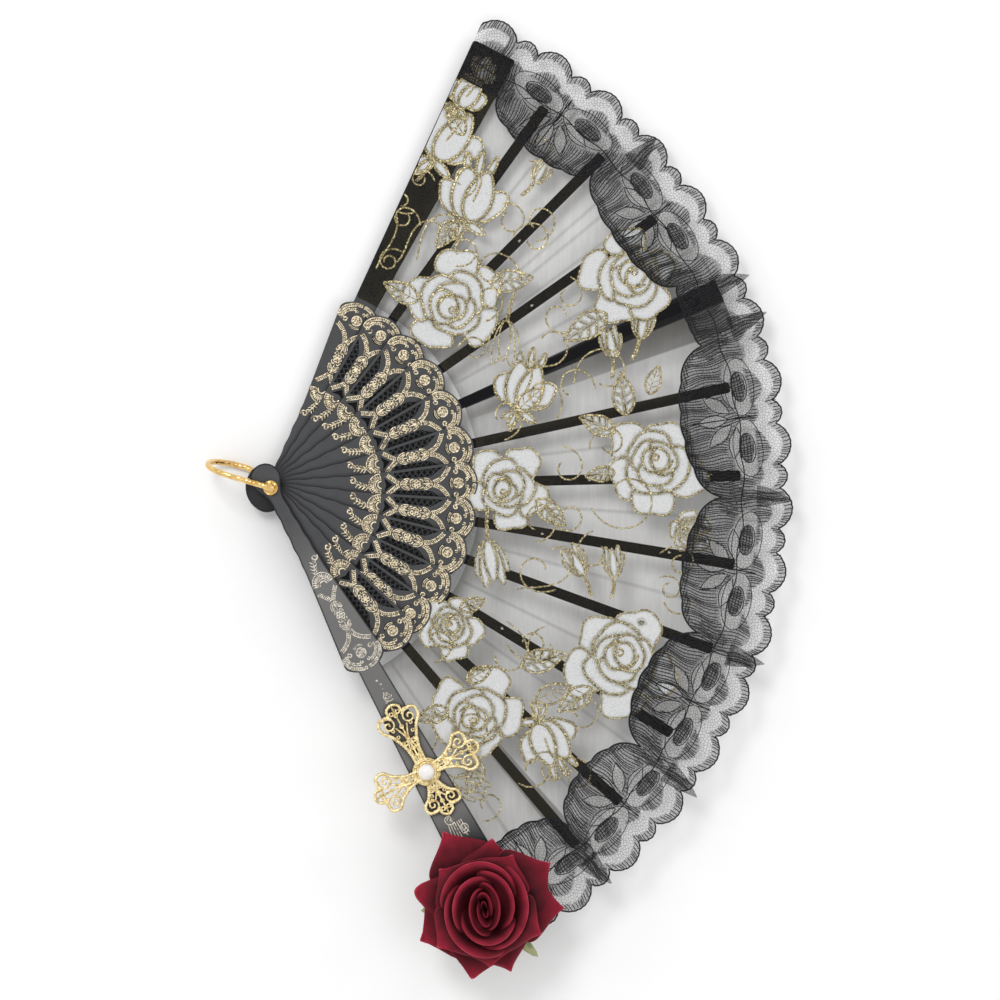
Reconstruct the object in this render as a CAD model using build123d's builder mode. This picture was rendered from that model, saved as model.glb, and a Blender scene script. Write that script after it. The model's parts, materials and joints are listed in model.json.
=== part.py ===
"""Folding hand fan with a sheer leaf, a lace border, a rose, a cross and a ring loop.

The fan lies open and flat. The Z axis is the pivot, z = 0 is the rear guard's
back face, +Z points out of the fan's front, and the fan opens towards +X.
Thirteen blades (two guards and eleven sticks) are stacked along Z, rear guard
lowest, and each one turns on the pivot pin.
"""

from math import cos, hypot, radians, sin, tan
import os

from build123d import *

os.makedirs("parts", exist_ok=True)

# ---------------------------------------------------------------- dimensions
# Angle of each blade when the fan is open, from the rear guard to the front one.
blade_angles = [63.0, 54.3, 45.1, 35.1, 23.9, 12.4, 1.5, -9.4, -20.1, -31.5, -42.0, -49.5, -61.2]
last_blade = len(blade_angles) - 1

guard_thickness = 1.8
stick_thickness = 1.0
rib_thickness = 0.7
layer_gap = 0.25
layer_pitch = stick_thickness + layer_gap

tail_offset = 4.6  # centre of the rounded tail behind the pivot
tail_radius = 6.6
# The neck's edge, as distance from the pivot and half width: its narrowest
# place, then the gentle waves moulded along it.
neck_start = (7.0, 2.9)
neck_waves = [(11.0, 3.25), (15.0, 3.12), (19.5, 3.65), (23.5, 3.5), (28.0, 4.05), (32.0, 3.9), (36.5, 4.45)]
taper_angle = 6.4  # half angle of the blade's carved part
taper_start = 44.0
shoulder = 84.0
head_top = 90.3
rib_half = (2.15, 2.4)  # half width of a stick's rib at the head and at its tip
rib_tip = 205.0
guard_half = (4.9, 10.3)  # the same for a guard's upper strip
guard_tip = 215.0
edge_bevel = 0.25
relief_depth = 0.2  # sunken panel across the back of a guard's carved part
relief_start = 22.0

lattice_floor = 0.35  # wall left under the sunken lattice windows
lattice_pitch = 2.6
lattice_bar = 0.55
lattice_drop = 0.15  # the lattice's top lies this far under the blade's face

leaf_inner = 91.5
leaf_outer = 214.0
guard_overlap = 2.7  # how many degrees the cloth runs on past a guard's middle line
lace_inner = 186.0
lace_outer = 228.5
cloth_thickness = 0.2
cloth_lift = 0.03
seam_gap = 0.05  # between one gore and the next, on a blade's middle line
rise_near = 0.4  # the cloth climbs to the next rib between these distances from it
rise_far = 2.0

pin_radius = 1.5
pin_clearance = 0.05
pin_play = 0.1  # clearance along the pin between two of its pieces
washer_radius = 3.2
washer_thickness = 0.6
peg_radius = 0.8
peg_length = 2.2
wire_radius = 1.25
collar_radius = 1.75
collar_length = 4.4

cross_place = 141.0  # distance of the cross's centre from the pivot
cross_thickness = 1.2
pearl_radius = 3.6

rose_place = (204.4, -5.9)  # centre of the rose, in the front guard's own axes
rose_radius = 33.0
petal_thickness = 0.8
petal_gap = 0.2


# ------------------------------------------------------------------- layout
def blade_z(index):
    """Height of a blade's back face."""
    if index == 0:
        return 0.0
    return guard_thickness + layer_gap + (index - 1) * layer_pitch


def blade_plane(index, lift=0.0):
    """Plane on a blade: x runs out along the blade, z out of the fan's front."""
    a = radians(blade_angles[index])
    return Plane(
        origin=(0, 0, blade_z(index) + lift),
        x_dir=(cos(a), sin(a), 0),
        z_dir=(0, 0, 1),
    )


def cloth_seat(index):
    """Height on which the cloth lies where it crosses a blade."""
    if index == 0:
        return guard_thickness
    if index == last_blade:
        return blade_z(last_blade - 1) + rib_thickness
    return blade_z(index) + rib_thickness


def save(part, name):
    part.label = name
    export_step(part, f"parts/{name}.step")


# ------------------------------------------------------------------ profiles
with BuildSketch() as blade_profile:
    with BuildLine():
        tail = CenterArc((-tail_offset, 0), tail_radius, 180, -120)
        neck = Spline(
            tail @ 1,
            neck_start,
            *neck_waves,
            (taper_start, taper_start * tan(radians(taper_angle))),
            tangents=[tail % 1, (cos(radians(taper_angle)), sin(radians(taper_angle)))],
        )
        side = Line(neck @ 1, (shoulder, shoulder * tan(radians(taper_angle))))
        head = Spline(
            side @ 1,
            (head_top - 2.2, 6.6),
            (head_top, 0),
            tangents=[side % 1, (0, -1)],
        )
        mirror(about=Plane.XZ)
    make_face()
    Circle(pin_radius + pin_clearance, mode=Mode.SUBTRACT)

with BuildSketch() as rib_profile:
    with BuildLine():
        Polyline(
            (shoulder, rib_half[0]),
            (rib_tip, rib_half[1]),
            (rib_tip, -rib_half[1]),
            (shoulder, -rib_half[0]),
            close=True,
        )
    make_face()
    fillet(rib_profile.vertices().group_by(Axis.X)[-1], 1.2)

with BuildSketch() as strip_profile:
    with BuildLine():
        Polyline(
            (shoulder, guard_half[0]),
            (guard_tip, guard_half[1]),
            (guard_tip, -guard_half[1]),
            (shoulder, -guard_half[0]),
            close=True,
        )
    make_face()
    fillet(strip_profile.vertices().group_by(Axis.X)[-1], 1.5)

# One lattice window, on the side of the blade where y is positive.
window_corners = [(53.4, 4.9), (54.8, 2.5), (70.0, 3.2), (75.2, 7.2)]

with BuildSketch() as window_profile:
    with BuildLine():
        Polyline(*window_corners, close=True)
    make_face()

# The lattice: two crossing rows of bars, trimmed to the window.
with BuildSketch() as lattice_profile:
    with Locations((64.5, 5.0)):
        with GridLocations(lattice_pitch, 1, 12, 1):
            Rectangle(lattice_bar, 14, rotation=36)
            Rectangle(lattice_bar, 14, rotation=-36)
    add(window_profile.sketch, mode=Mode.INTERSECT)

# Two plain sunken panels on the middle line: a kite below the lattice and a
# crescent under the head's rosette.
with BuildSketch() as panel_profile:
    with BuildLine():
        Polyline((49.4, 2.9), (50.2, 0), (49.4, -2.9), (53.0, 0), close=True)
    make_face()
    with BuildLine():
        ThreePointArc((79.8, 3.1), (77.6, 0), (79.8, -3.1))
        ThreePointArc((79.8, -3.1), (78.9, 0), (79.8, 3.1))
    make_face()

# -------------------------------------------------------------------- guards
for index, name in ((0, "back_guard"), (last_blade, "front_guard")):
    with BuildPart() as guard:
        with BuildSketch(blade_plane(index)):
            add(blade_profile.sketch)
            add(strip_profile.sketch)
        extrude(amount=guard_thickness)
        faces = guard.faces().filter_by(Axis.Z).sort_by(Axis.Z)
        rims = faces[0].outer_wire().edges() + faces[-1].outer_wire().edges()
        chamfer(rims, edge_bevel)
        with BuildSketch(blade_plane(index)):
            with Locations(((relief_start + shoulder) / 2, 0)):
                Rectangle(shoulder - relief_start, 3 * tail_radius)
        extrude(amount=relief_depth, mode=Mode.SUBTRACT)
    save(guard.part, name)

# -------------------------------------------------------------------- sticks
for index in range(1, last_blade):
    with BuildPart() as stick:
        with BuildSketch(blade_plane(index)):
            add(blade_profile.sketch)
        extrude(amount=stick_thickness)
        with BuildSketch(blade_plane(index)):
            add(rib_profile.sketch)
        extrude(amount=rib_thickness)
        with BuildSketch(blade_plane(index, lattice_floor)):
            add(window_profile.sketch)
            mirror(window_profile.sketch, about=Plane.XZ)
            add(panel_profile.sketch)
        extrude(amount=stick_thickness, mode=Mode.SUBTRACT)
        with BuildSketch(blade_plane(index, lattice_floor)):
            add(lattice_profile.sketch)
            mirror(lattice_profile.sketch, about=Plane.XZ)
        extrude(amount=stick_thickness - lattice_floor - lattice_drop)
    save(stick.part, f"stick_{index:02d}")


# --------------------------------------------------------------------- cloth
def cloth_gore(index, inner, outer, lift):
    """Closed slab of cloth from one blade's middle line to the next one's.

    It lies on the first rib, crosses the gap at that height and climbs onto
    the next rib just before reaching it. The first and the last gore run on
    to the guards' outer edges.
    """
    high, low = blade_angles[index], blade_angles[index + 1]
    if index == 0:
        high += guard_overlap
    if index + 1 == last_blade:
        low -= guard_overlap
    middle = radians((high + low) / 2)
    spread = tan(radians((high - low) / 2))
    here = cloth_seat(index) + lift
    there = cloth_seat(index + 1) + lift
    near = rib_half[1] + rise_near
    far = rib_half[1] + rise_far
    with BuildPart() as slab:
        for reach in (inner, outer):
            half = reach * spread - seam_gap
            section = Plane(
                origin=(reach * cos(middle), reach * sin(middle), 0),
                x_dir=(-sin(middle), cos(middle), 0),
                z_dir=(cos(middle), sin(middle), 0),
            )
            upper = [(half, here), (far - half, here), (near - half, there), (-half, there)]
            lower = [(x, z + cloth_thickness) for x, z in reversed(upper)]
            with BuildSketch(section):
                with BuildLine():
                    Polyline(*upper, *lower, close=True)
                make_face()
        loft(ruled=True)
    return slab.part


for index in range(last_blade):
    save(cloth_gore(index, leaf_inner, leaf_outer, cloth_lift), f"leaf_gore_{index + 1:02d}")

lace_lift = 2 * cloth_lift + cloth_thickness
for index in range(last_blade):
    save(cloth_gore(index, lace_inner, lace_outer, lace_lift), f"lace_gore_{index + 1:02d}")

# --------------------------------------------------------------------- pivot
stack_top = blade_z(last_blade) + guard_thickness
front_washer_z = stack_top + pin_play
pin_top = front_washer_z + washer_thickness + pin_play
pin_bottom = -washer_thickness - pin_play

with BuildPart() as pivot_pin:
    with BuildSketch(Plane.XY.offset(pin_bottom - peg_length)):
        Circle(peg_radius)
    extrude(amount=pin_top - pin_bottom + 2 * peg_length)
    with BuildSketch(Plane.XY.offset(pin_bottom)):
        Circle(pin_radius)
    extrude(amount=pin_top - pin_bottom)
save(pivot_pin.part, "pivot_pin")

for z, name in ((-washer_thickness, "back_washer"), (front_washer_z, "front_washer")):
    with BuildPart() as washer:
        with BuildSketch(Plane.XY.offset(z)):
            Circle(washer_radius)
            Circle(pin_radius, mode=Mode.SUBTRACT)
        extrude(amount=washer_thickness)
        chamfer(washer.edges().filter_by(GeomType.CIRCLE).sort_by(SortBy.RADIUS)[-2:], 0.15)
    save(washer.part, name)

# ----------------------------------------------------------------- ring loop
front_arm_z = pin_top + pin_play + collar_radius
back_arm_z = pin_bottom - pin_play - collar_radius
front_corner = (-27.5, 8.0)
back_corner = (-27.5, 13.0)
back_bend = (-10.0, 8.6)


def towards(corner, distance):
    """Point at a distance from the pivot, in the direction of a corner."""
    scale = distance / hypot(*corner)
    return corner[0] * scale, corner[1] * scale


collar_end = collar_length / 2 + 0.4
hole_past_middle = peg_length - collar_radius  # the peg ends one pin_play short of it

for corner, z, mouth, name in (
    (front_corner, front_arm_z, -1, "ring_front_collar"),
    (back_bend, back_arm_z, 1, "ring_back_collar"),
):
    along = Plane(
        origin=(*towards(corner, collar_end - collar_length), z),
        x_dir=(0, 0, 1),
        z_dir=(*corner, 0),
    )
    with BuildPart() as collar:
        with BuildSketch(along):
            Circle(collar_radius)
        extrude(amount=collar_length)
        chamfer(collar.edges().filter_by(GeomType.CIRCLE), 0.25)
        with BuildSketch(Plane.XY.offset(z)):
            Circle(peg_radius + pin_clearance)
        extrude(amount=mouth * (collar_radius + 1), mode=Mode.SUBTRACT)
        with BuildSketch(Plane.XY.offset(z)):
            Circle(peg_radius + pin_clearance)
        extrude(amount=-mouth * hole_past_middle, mode=Mode.SUBTRACT)
    save(collar.part, name)

with BuildPart() as ring_bow:
    with BuildLine():
        route = FilletPolyline(
            (*towards(front_corner, collar_end), front_arm_z),
            (*front_corner, front_arm_z),
            (*back_corner, back_arm_z),
            (*back_bend, back_arm_z),
            (*towards(back_bend, collar_end), back_arm_z),
            radius=[11.0, 11.0, 9.0],
        )
    with BuildSketch(Plane(origin=route @ 0, z_dir=route % 0)):
        Circle(wire_radius)
    sweep()
save(ring_bow.part, "ring_bow")

# --------------------------------------------------------------------- cross
cross_base = blade_plane(last_blade, guard_thickness)


def cross_plane(turn, lift=0.0):
    """Plane at the cross's centre with x along one of its arms."""
    centre = cross_base.from_local_coords(Vector(cross_place, 0, lift))
    a = radians(blade_angles[last_blade] + turn)
    return Plane(origin=centre, x_dir=(cos(a), sin(a), 0), z_dir=(0, 0, 1))


# Turn, length and greatest half width of each arm; the long arm points at the pivot.
cross_arms = [(0, 21.0, 8.0), (90, 25.5, 9.0), (180, 33.0, 9.0), (270, 25.5, 9.0)]
arm_wall = 1.9
hub_radius = 5.4

with BuildPart() as cross_frame:
    for turn, length, half in cross_arms:
        with BuildSketch(cross_plane(turn)) as arm:
            with BuildLine():
                edge = Spline(
                    (3.0, 2.4),
                    (length * 0.4, 3.0),
                    (length * 0.74, half),
                    (length * 0.9, half * 0.45),
                    (length, 0),
                    tangents=[(1, 0), (1, -1.2)],
                )
                mirror(edge, about=Plane.XZ)
                Line((3.0, 2.4), (3.0, -2.4))
            make_face()
            with Locations((length * 0.7, 0)):
                Ellipse(length * 0.2, half - 2 * arm_wall, mode=Mode.SUBTRACT)
        extrude(amount=cross_thickness)
    with BuildSketch(cross_plane(0)):
        Circle(hub_radius)
    extrude(amount=cross_thickness)
save(cross_frame.part, "cross_frame")

cup_height = 1.6
cup_radius = 3.4
socket_clearance = 0.02
pearl_centre = cross_thickness + 0.5 + pearl_radius

with BuildPart() as pearl_cup:
    with BuildSketch(cross_plane(0, cross_thickness)):
        Circle(cup_radius)
    extrude(amount=cup_height)
    with Locations(cross_plane(0, pearl_centre)):
        Sphere(pearl_radius + socket_clearance, mode=Mode.SUBTRACT)
save(pearl_cup.part, "pearl_cup")

with BuildPart() as pearl:
    with Locations(cross_plane(0, pearl_centre)):
        Sphere(pearl_radius)
save(pearl.part, "pearl")

# ---------------------------------------------------------------------- rose
rose_centre = cross_base.from_local_coords(Vector(*rose_place, 0))
rose_axis = Plane(origin=rose_centre, x_dir=(1, 0, 0), z_dir=(0, 0, 1))
rose_side = Plane(origin=rose_centre, x_dir=(1, 0, 0), z_dir=(0, -1, 0))

calyx_height = 3.0
calyx_radius = 7.0
sepal_height = 1.0
sepal_reach = 31.0

with BuildPart() as rose_calyx:
    with BuildSketch(rose_axis):
        Circle(calyx_radius)
    extrude(amount=calyx_height, taper=20)
save(rose_calyx.part, "rose_calyx")

with BuildSketch() as sepal_profile:
    with BuildLine():
        ThreePointArc((0, 3.5), (15, 4.2), (sepal_reach, 0))
        ThreePointArc((sepal_reach, 0), (15, -4.2), (0, -3.5))
        Line((0, -3.5), (0, 3.5))
    make_face()

with BuildPart() as rose_sepals:
    with BuildSketch(rose_axis.offset(calyx_height)):
        Circle(calyx_radius)
        with PolarLocations(0, 5, start_angle=40):
            add(sepal_profile.sketch)
    extrude(amount=sepal_height)
save(rose_sepals.part, "rose_sepals")


def petal_cup(bottom, inner, middle, outer, points, start):
    """Thin cup whose rim is cut into pointed petals."""
    (r0, z0), (r1, z1), (r2, z2) = inner, middle, outer
    with BuildPart() as cup:
        with BuildSketch(rose_side):
            with BuildLine():
                ThreePointArc((r0, bottom + z0), (r1, bottom + z1), (r2, bottom + z2))
                Line((r2, bottom + z2), (r2, bottom + z2 + petal_thickness))
                ThreePointArc(
                    (r2, bottom + z2 + petal_thickness),
                    (r1 - petal_thickness / 2, bottom + z1 + petal_thickness),
                    (r0, bottom + z0 + petal_thickness),
                )
                Line((r0, bottom + z0 + petal_thickness), (r0, bottom + z0))
            make_face()
        revolve(axis=Axis(rose_centre, (0, 0, 1)))
        with BuildSketch(rose_axis):
            RegularPolygon(r2, points, rotation=start)
        extrude(amount=2 * rose_radius, mode=Mode.INTERSECT)
    return cup.part


petal_floor = calyx_height + sepal_height + petal_gap
save(petal_cup(petal_floor, (1.0, 0), (20, 3.0), (rose_radius, 7.5), 7, 12), "rose_outer_petals")
save(petal_cup(petal_floor + 1.6, (1.0, 0), (17, 6.0), (23.0, 20.0), 6, 40), "rose_middle_petals")

with BuildPart() as rose_bud:
    with BuildSketch(rose_side):
        with BuildLine():
            base = petal_floor + 3.4
            Polyline(
                (0, base + 26),
                (0, base),
                (3, base),
                (9.5, base + 3.5),
                (12.2, base + 10),
                (11.5, base + 18),
                (8.5, base + 24),
                (4.5, base + 26),
                close=True,
            )
        make_face()
    revolve(axis=Axis(rose_centre, (0, 0, 1)))
save(rose_bud.part, "rose_bud")
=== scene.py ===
"""Looks of the folding hand fan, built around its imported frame.

Shapes are worked out in millimetres in the fan's own axes, and add_piece turns
them into metres. The leaf, its print and the lace are drawn flat over the whole
fan, cut at the blades' middle lines into twelve gores, and laid on one surface.
"""

import json
import math
import random

import bpy
import numpy as np
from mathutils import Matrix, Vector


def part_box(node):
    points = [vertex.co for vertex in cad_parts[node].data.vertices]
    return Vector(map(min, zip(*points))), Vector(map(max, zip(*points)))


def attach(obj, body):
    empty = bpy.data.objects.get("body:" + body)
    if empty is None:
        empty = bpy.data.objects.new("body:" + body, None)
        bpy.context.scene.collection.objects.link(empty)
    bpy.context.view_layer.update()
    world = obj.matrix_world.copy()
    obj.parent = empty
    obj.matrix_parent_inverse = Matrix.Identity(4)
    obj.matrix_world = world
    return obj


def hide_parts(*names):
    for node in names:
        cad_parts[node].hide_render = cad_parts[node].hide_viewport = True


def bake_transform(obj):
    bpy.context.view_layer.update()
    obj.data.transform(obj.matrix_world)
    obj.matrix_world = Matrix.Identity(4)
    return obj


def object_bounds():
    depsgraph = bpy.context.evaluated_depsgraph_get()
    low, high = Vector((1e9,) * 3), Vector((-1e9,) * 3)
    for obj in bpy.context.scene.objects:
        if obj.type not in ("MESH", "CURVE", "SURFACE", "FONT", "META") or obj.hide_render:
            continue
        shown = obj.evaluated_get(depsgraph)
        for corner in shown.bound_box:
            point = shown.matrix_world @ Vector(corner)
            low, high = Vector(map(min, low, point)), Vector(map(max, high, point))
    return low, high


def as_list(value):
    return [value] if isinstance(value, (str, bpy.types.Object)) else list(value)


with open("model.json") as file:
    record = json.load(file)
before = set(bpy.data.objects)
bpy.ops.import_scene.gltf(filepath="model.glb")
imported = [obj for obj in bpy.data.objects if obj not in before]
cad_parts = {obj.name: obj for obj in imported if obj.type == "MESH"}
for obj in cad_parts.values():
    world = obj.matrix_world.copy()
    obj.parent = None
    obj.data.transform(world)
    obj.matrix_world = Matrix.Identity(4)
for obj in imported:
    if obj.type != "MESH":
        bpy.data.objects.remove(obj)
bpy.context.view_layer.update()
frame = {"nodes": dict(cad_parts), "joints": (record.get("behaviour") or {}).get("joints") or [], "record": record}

MM = 0.001

# ---------------------------------------------------------------- the frame
last = 12
blades = ["back_guard"] + [f"stick_{i:02d}" for i in range(1, last)] + ["front_guard"]
opening = {j["child"]: j["range_deg"][1] for j in frame["joints"]}
resting = next(m for m in frame["record"]["mounts"] if m["name"] == "back_face")["pos_m"]
turns = [math.degrees(math.atan2(resting[1], resting[0]))]
for blade in blades[1:]:
    turns.append(turns[-1] - opening[blade])
spokes = np.radians(turns)


def low_mm(node):
    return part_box(node)[0].z / MM


def high_mm(node):
    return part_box(node)[1].z / MM


def middle_mm(node):
    low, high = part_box(node)
    return (low.x + high.x) / 2 / MM, (low.y + high.y) / 2 / MM


# Height of the cloth where it crosses each blade.
seats = [low_mm(f"leaf_gore_{k:02d}") for k in range(1, last + 1)]
seats.append(seats[-1])

RIB = 2.6  # half width of the strip in which the cloth lies flat on a rib
LEAF = (91.5, 214.0)  # the leaf's inner and outer radius
GUARD_OVERLAP = 2.7  # degrees that the cloth runs on past a guard's middle line
PLEAT = 0.45  # height of the crease along the middle of a gore
PLEAT_HALF = 0.28  # half width of the crease, as a share of the gore's width
PLEAT_GROWTH = 60  # stretch beyond the leaf's inner edge over which the crease rises
RIM_SHADE_WIDTH = 1.4  # width of the painted shade along a flocked petal's rim and beside the petals over it
HOLLOW = 0.3  # depth under a blade's top face at which painted shade makes its plastic black

# Heights above the leaf's surface.
CLOTH_LIFT = 0.06
FLOCK_LIFT = 0.11
GOLD_LIFT = 0.24
LACE_LIFT = 0.40
THREAD_LIFT = 0.44


def gore_height(k, x, y):
    """Height of the leaf's surface over points of gore k, which runs from blade k to blade k + 1."""
    reach = np.hypot(x, y)
    theta = np.arctan2(y, x)
    back = reach * np.sin(spokes[k] - theta)
    fore = reach * np.sin(theta - spokes[k + 1])
    along = np.clip((back - RIB) / np.maximum(back + fore - 2 * RIB, 0.001), 0, 1)
    climb = along * along * (3 - 2 * along)
    crease = np.clip(1 - np.abs(along - 0.5) / PLEAT_HALF, 0, 1) ** 1.5
    grown = np.clip((reach - LEAF[0]) / PLEAT_GROWTH, 0, 1)
    return seats[k] + (seats[k + 1] - seats[k]) * climb + PLEAT * crease * grown


def gore_limits(k):
    """Highest and lowest angle of gore k, in radians."""
    high = spokes[k] + (math.radians(GUARD_OVERLAP) if k == 0 else 0)
    low = spokes[k + 1] - (math.radians(GUARD_OVERLAP) if k == last - 1 else 0)
    return high, low


# ---------------------------------------------------------------- mesh tools
def add_piece(name, points, faces, finish):
    """A mesh object from points in millimetres; a fourth value on each point becomes its tone."""
    points = np.asarray(points, float)
    mesh = bpy.data.meshes.new(name)
    mesh.from_pydata((points[:, :3] * MM).tolist(), [], [tuple(f) for f in faces])
    mesh.materials.append(finish)
    mesh.polygons.foreach_set("use_smooth", [True] * len(mesh.polygons))
    if points.shape[1] > 3:
        mesh.attributes.new("tone", "FLOAT", "POINT").data.foreach_set("value", points[:, 3])
    mesh.update()
    piece = bpy.data.objects.new(name, mesh)
    bpy.context.scene.collection.objects.link(piece)
    return piece


class Drawing:
    """Faces drawn flat: x, y, a lift above whatever the drawing is laid on, and a tone from 0 to 1."""

    def __init__(self):
        self.points = []
        self.faces = []

    def add(self, points, faces):
        start = len(self.points)
        self.points.extend(tuple(p) for p in points)
        self.faces.extend(tuple(start + i for i in f) for f in faces)

    def grid(self, points, rows, columns, closed=False):
        """Points in row order, joined into quads; closed joins the last column to the first."""
        faces = []
        for row in range(0, (rows - 1) * columns, columns):
            for c in range(columns if closed else columns - 1):
                d = (c + 1) % columns
                faces.append((row + c, row + d, row + columns + d, row + columns + c))
        self.add(points, faces)

    def ribbon(self, line, width, lift, crown=0.06, closed=False, taper=True):
        """A narrow strip along a line, a little higher in its middle."""
        line = np.asarray(line, float)
        if len(line) < 2:
            return
        if closed:
            along = np.roll(line, -1, 0) - np.roll(line, 1, 0)
        else:
            along = np.gradient(line, axis=0)
        size = np.hypot(*along.T)
        size[size < 1e-9] = 1
        side = np.column_stack((-along[:, 1], along[:, 0])) / size[:, None]
        half = np.full(len(line), width / 2)
        if taper and not closed:
            half[0] = half[-1] = width * 0.2
        rows = []
        for across, height, tone in ((1, lift, 1.0), (0, lift + crown, 0.0), (-1, lift, 1.0)):
            levels = np.tile((height, tone), (len(line), 1))
            rows.append(np.column_stack((line + across * side * half[:, None], levels)))
        if closed:
            rows = [np.vstack((r, r[:1])) for r in rows]
        self.grid(np.vstack(rows[::-1]), 3, len(rows[0]))

    def fill(self, outline, lift, covers=(), gap=0.45, rings=7):
        """A star-shaped outline, filled from its middle, less a gap around each outline that covers it; its tone
        is painted shade along its rim and beside the outlines over it.
        """
        outline = np.asarray(outline, float)
        middle = outline.mean(0)
        count = len(outline)
        flat = [middle]
        for ring in range(1, rings + 1):
            flat.extend(middle + (outline - middle) * ring / rings)
        faces = [(0, 1 + i, 1 + (i + 1) % count) for i in range(count)]
        for ring in range(rings - 1):
            a = 1 + ring * count
            for i in range(count):
                j = (i + 1) % count
                faces.append((a + i, a + count + i, a + count + j, a + j))
        flat = np.array(flat)
        # tone: painted shade along the petal's rim
        tone = np.clip(1 + outside(flat, outline) / RIM_SHADE_WIDTH, 0, 1)
        points = np.column_stack((flat, np.full(len(flat), lift), tone))
        # painted shade beside each petal that lies over this one
        for cover in covers:
            far = outside(points[:, :2], cover) - gap
            points[:, 3] = np.maximum(points[:, 3], np.clip(1 - far / RIM_SHADE_WIDTH, 0, 1))
            points, faces = clip(points, faces, far)
        if len(faces) > 0:
            self.add(points, faces)


def clip(points, faces, values):
    """Keeps the part of the faces where the values given at their corners are above zero."""
    points, values = [tuple(p) for p in points], list(values)
    size = len(points[0]) if points else 4
    kept, cuts = [], {}
    for face in faces:
        shape = []
        for i, j in zip(face, (*face[1:], face[0])):
            if values[i] > 0:
                shape.append(i)
            if (values[i] > 0) != (values[j] > 0):
                edge = (min(i, j), max(i, j))
                if edge not in cuts:
                    p, q = points[edge[0]], points[edge[1]]
                    t = values[edge[0]] / (values[edge[0]] - values[edge[1]])
                    cuts[edge] = len(points)
                    points.append(tuple(a + (b - a) * t for a, b in zip(p, q)))
                shape.append(cuts[edge])
        if len(shape) > 2:
            kept.append(tuple(shape))
    used = sorted({i for face in kept for i in face})
    place_of = {i: n for n, i in enumerate(used)}
    kept = [tuple(place_of[i] for i in face) for face in kept]
    return np.array([points[i] for i in used]).reshape(-1, size), kept


def outside(points, outline):
    """Distance of points from an outline, below zero inside it."""
    a = outline
    ab = np.roll(outline, -1, 0) - a
    ap = points[:, None, :] - a[None, :, :]
    t = np.clip((ap * ab).sum(2) / np.maximum((ab * ab).sum(1), 1e-9), 0, 1)
    far = np.sqrt(((ap - ab * t[:, :, None]) ** 2).sum(2)).min(1)
    return np.where(inside(points, outline), -far, far)


def even(line, step):
    """The same line with points a step apart."""
    line = np.asarray(line, float)
    gaps = np.hypot(*np.diff(line, axis=0).T)
    run = np.concatenate(([0], np.cumsum(gaps)))
    count = max(2, int(run[-1] / step) + 1)
    at = np.linspace(0, run[-1], count)
    return np.column_stack([np.interp(at, run, line[:, i]) for i in range(line.shape[1])])


def smooth(corners, step=0.8, closed=False):
    """A rounded line through corners, with points a step apart."""
    p = np.asarray(corners, float)
    if closed:
        p = np.vstack((p[-1:], p, p[:2]))
    else:
        p = np.vstack((2 * p[:1] - p[1:2], p, 2 * p[-1:] - p[-2:-1]))
    t = np.linspace(0, 1, 12, endpoint=False)[:, None]
    parts = []
    for a, b, c, d in zip(p[:-3], p[1:-2], p[2:-1], p[3:]):
        square, cube = 2 * a - 5 * b + 4 * c - d, 3 * b - a - 3 * c + d
        parts.append(0.5 * (2 * b + (c - a) * t + square * t**2 + cube * t**3))
    parts.append(p[-2:-1])
    line = even(np.vstack(parts), step)
    return line[:-1] if closed else line


def arc(centre, radius, first, final, step=0.8, squeeze=1.0):
    """Points along an arc, from one angle to another in degrees; radius may be a pair, for a spiral."""
    start, end = radius if isinstance(radius, tuple) else (radius, radius)
    length = abs(math.radians(final - first)) * max(start, end)
    t = np.linspace(0, 1, max(4, int(length / step) + 1))
    a = np.radians(first + (final - first) * t)
    r = start + (end - start) * t
    return np.column_stack((centre[0] + r * np.cos(a), centre[1] + squeeze * r * np.sin(a)))


def turned(x, y, angle):
    """x and y turned by an angle in radians."""
    return x * math.cos(angle) - y * math.sin(angle), x * math.sin(angle) + y * math.cos(angle)


def place(line, at, heading):
    """Moves a line drawn about (0, 0) along x to the polar place at = (degrees, mm), pointing at heading."""
    x, y = np.asarray(line, float).T
    return np.column_stack(turned(x, y, math.radians(heading))) + turned(at[1], 0, math.radians(at[0]))


def inside(points, outline):
    """Which points lie inside an outline."""
    x, y = points[:, 0][:, None], points[:, 1][:, None]
    a, b = outline, np.roll(outline, -1, 0)
    straddles = (a[:, 1] > y) != (b[:, 1] > y)
    rise = b[:, 1] - a[:, 1]
    rise = np.where(np.abs(rise) < 1e-9, 1e-9, rise)
    crossing = a[:, 0] + (y - a[:, 1]) * (b[:, 0] - a[:, 0]) / rise
    return (straddles & (x < crossing)).sum(1) % 2 == 1


# ------------------------------------------------------------------ materials
def set_sockets(node, sockets):
    for name, value in sockets.items():
        node.inputs[name.replace("_", " ")].default_value = value


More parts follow.
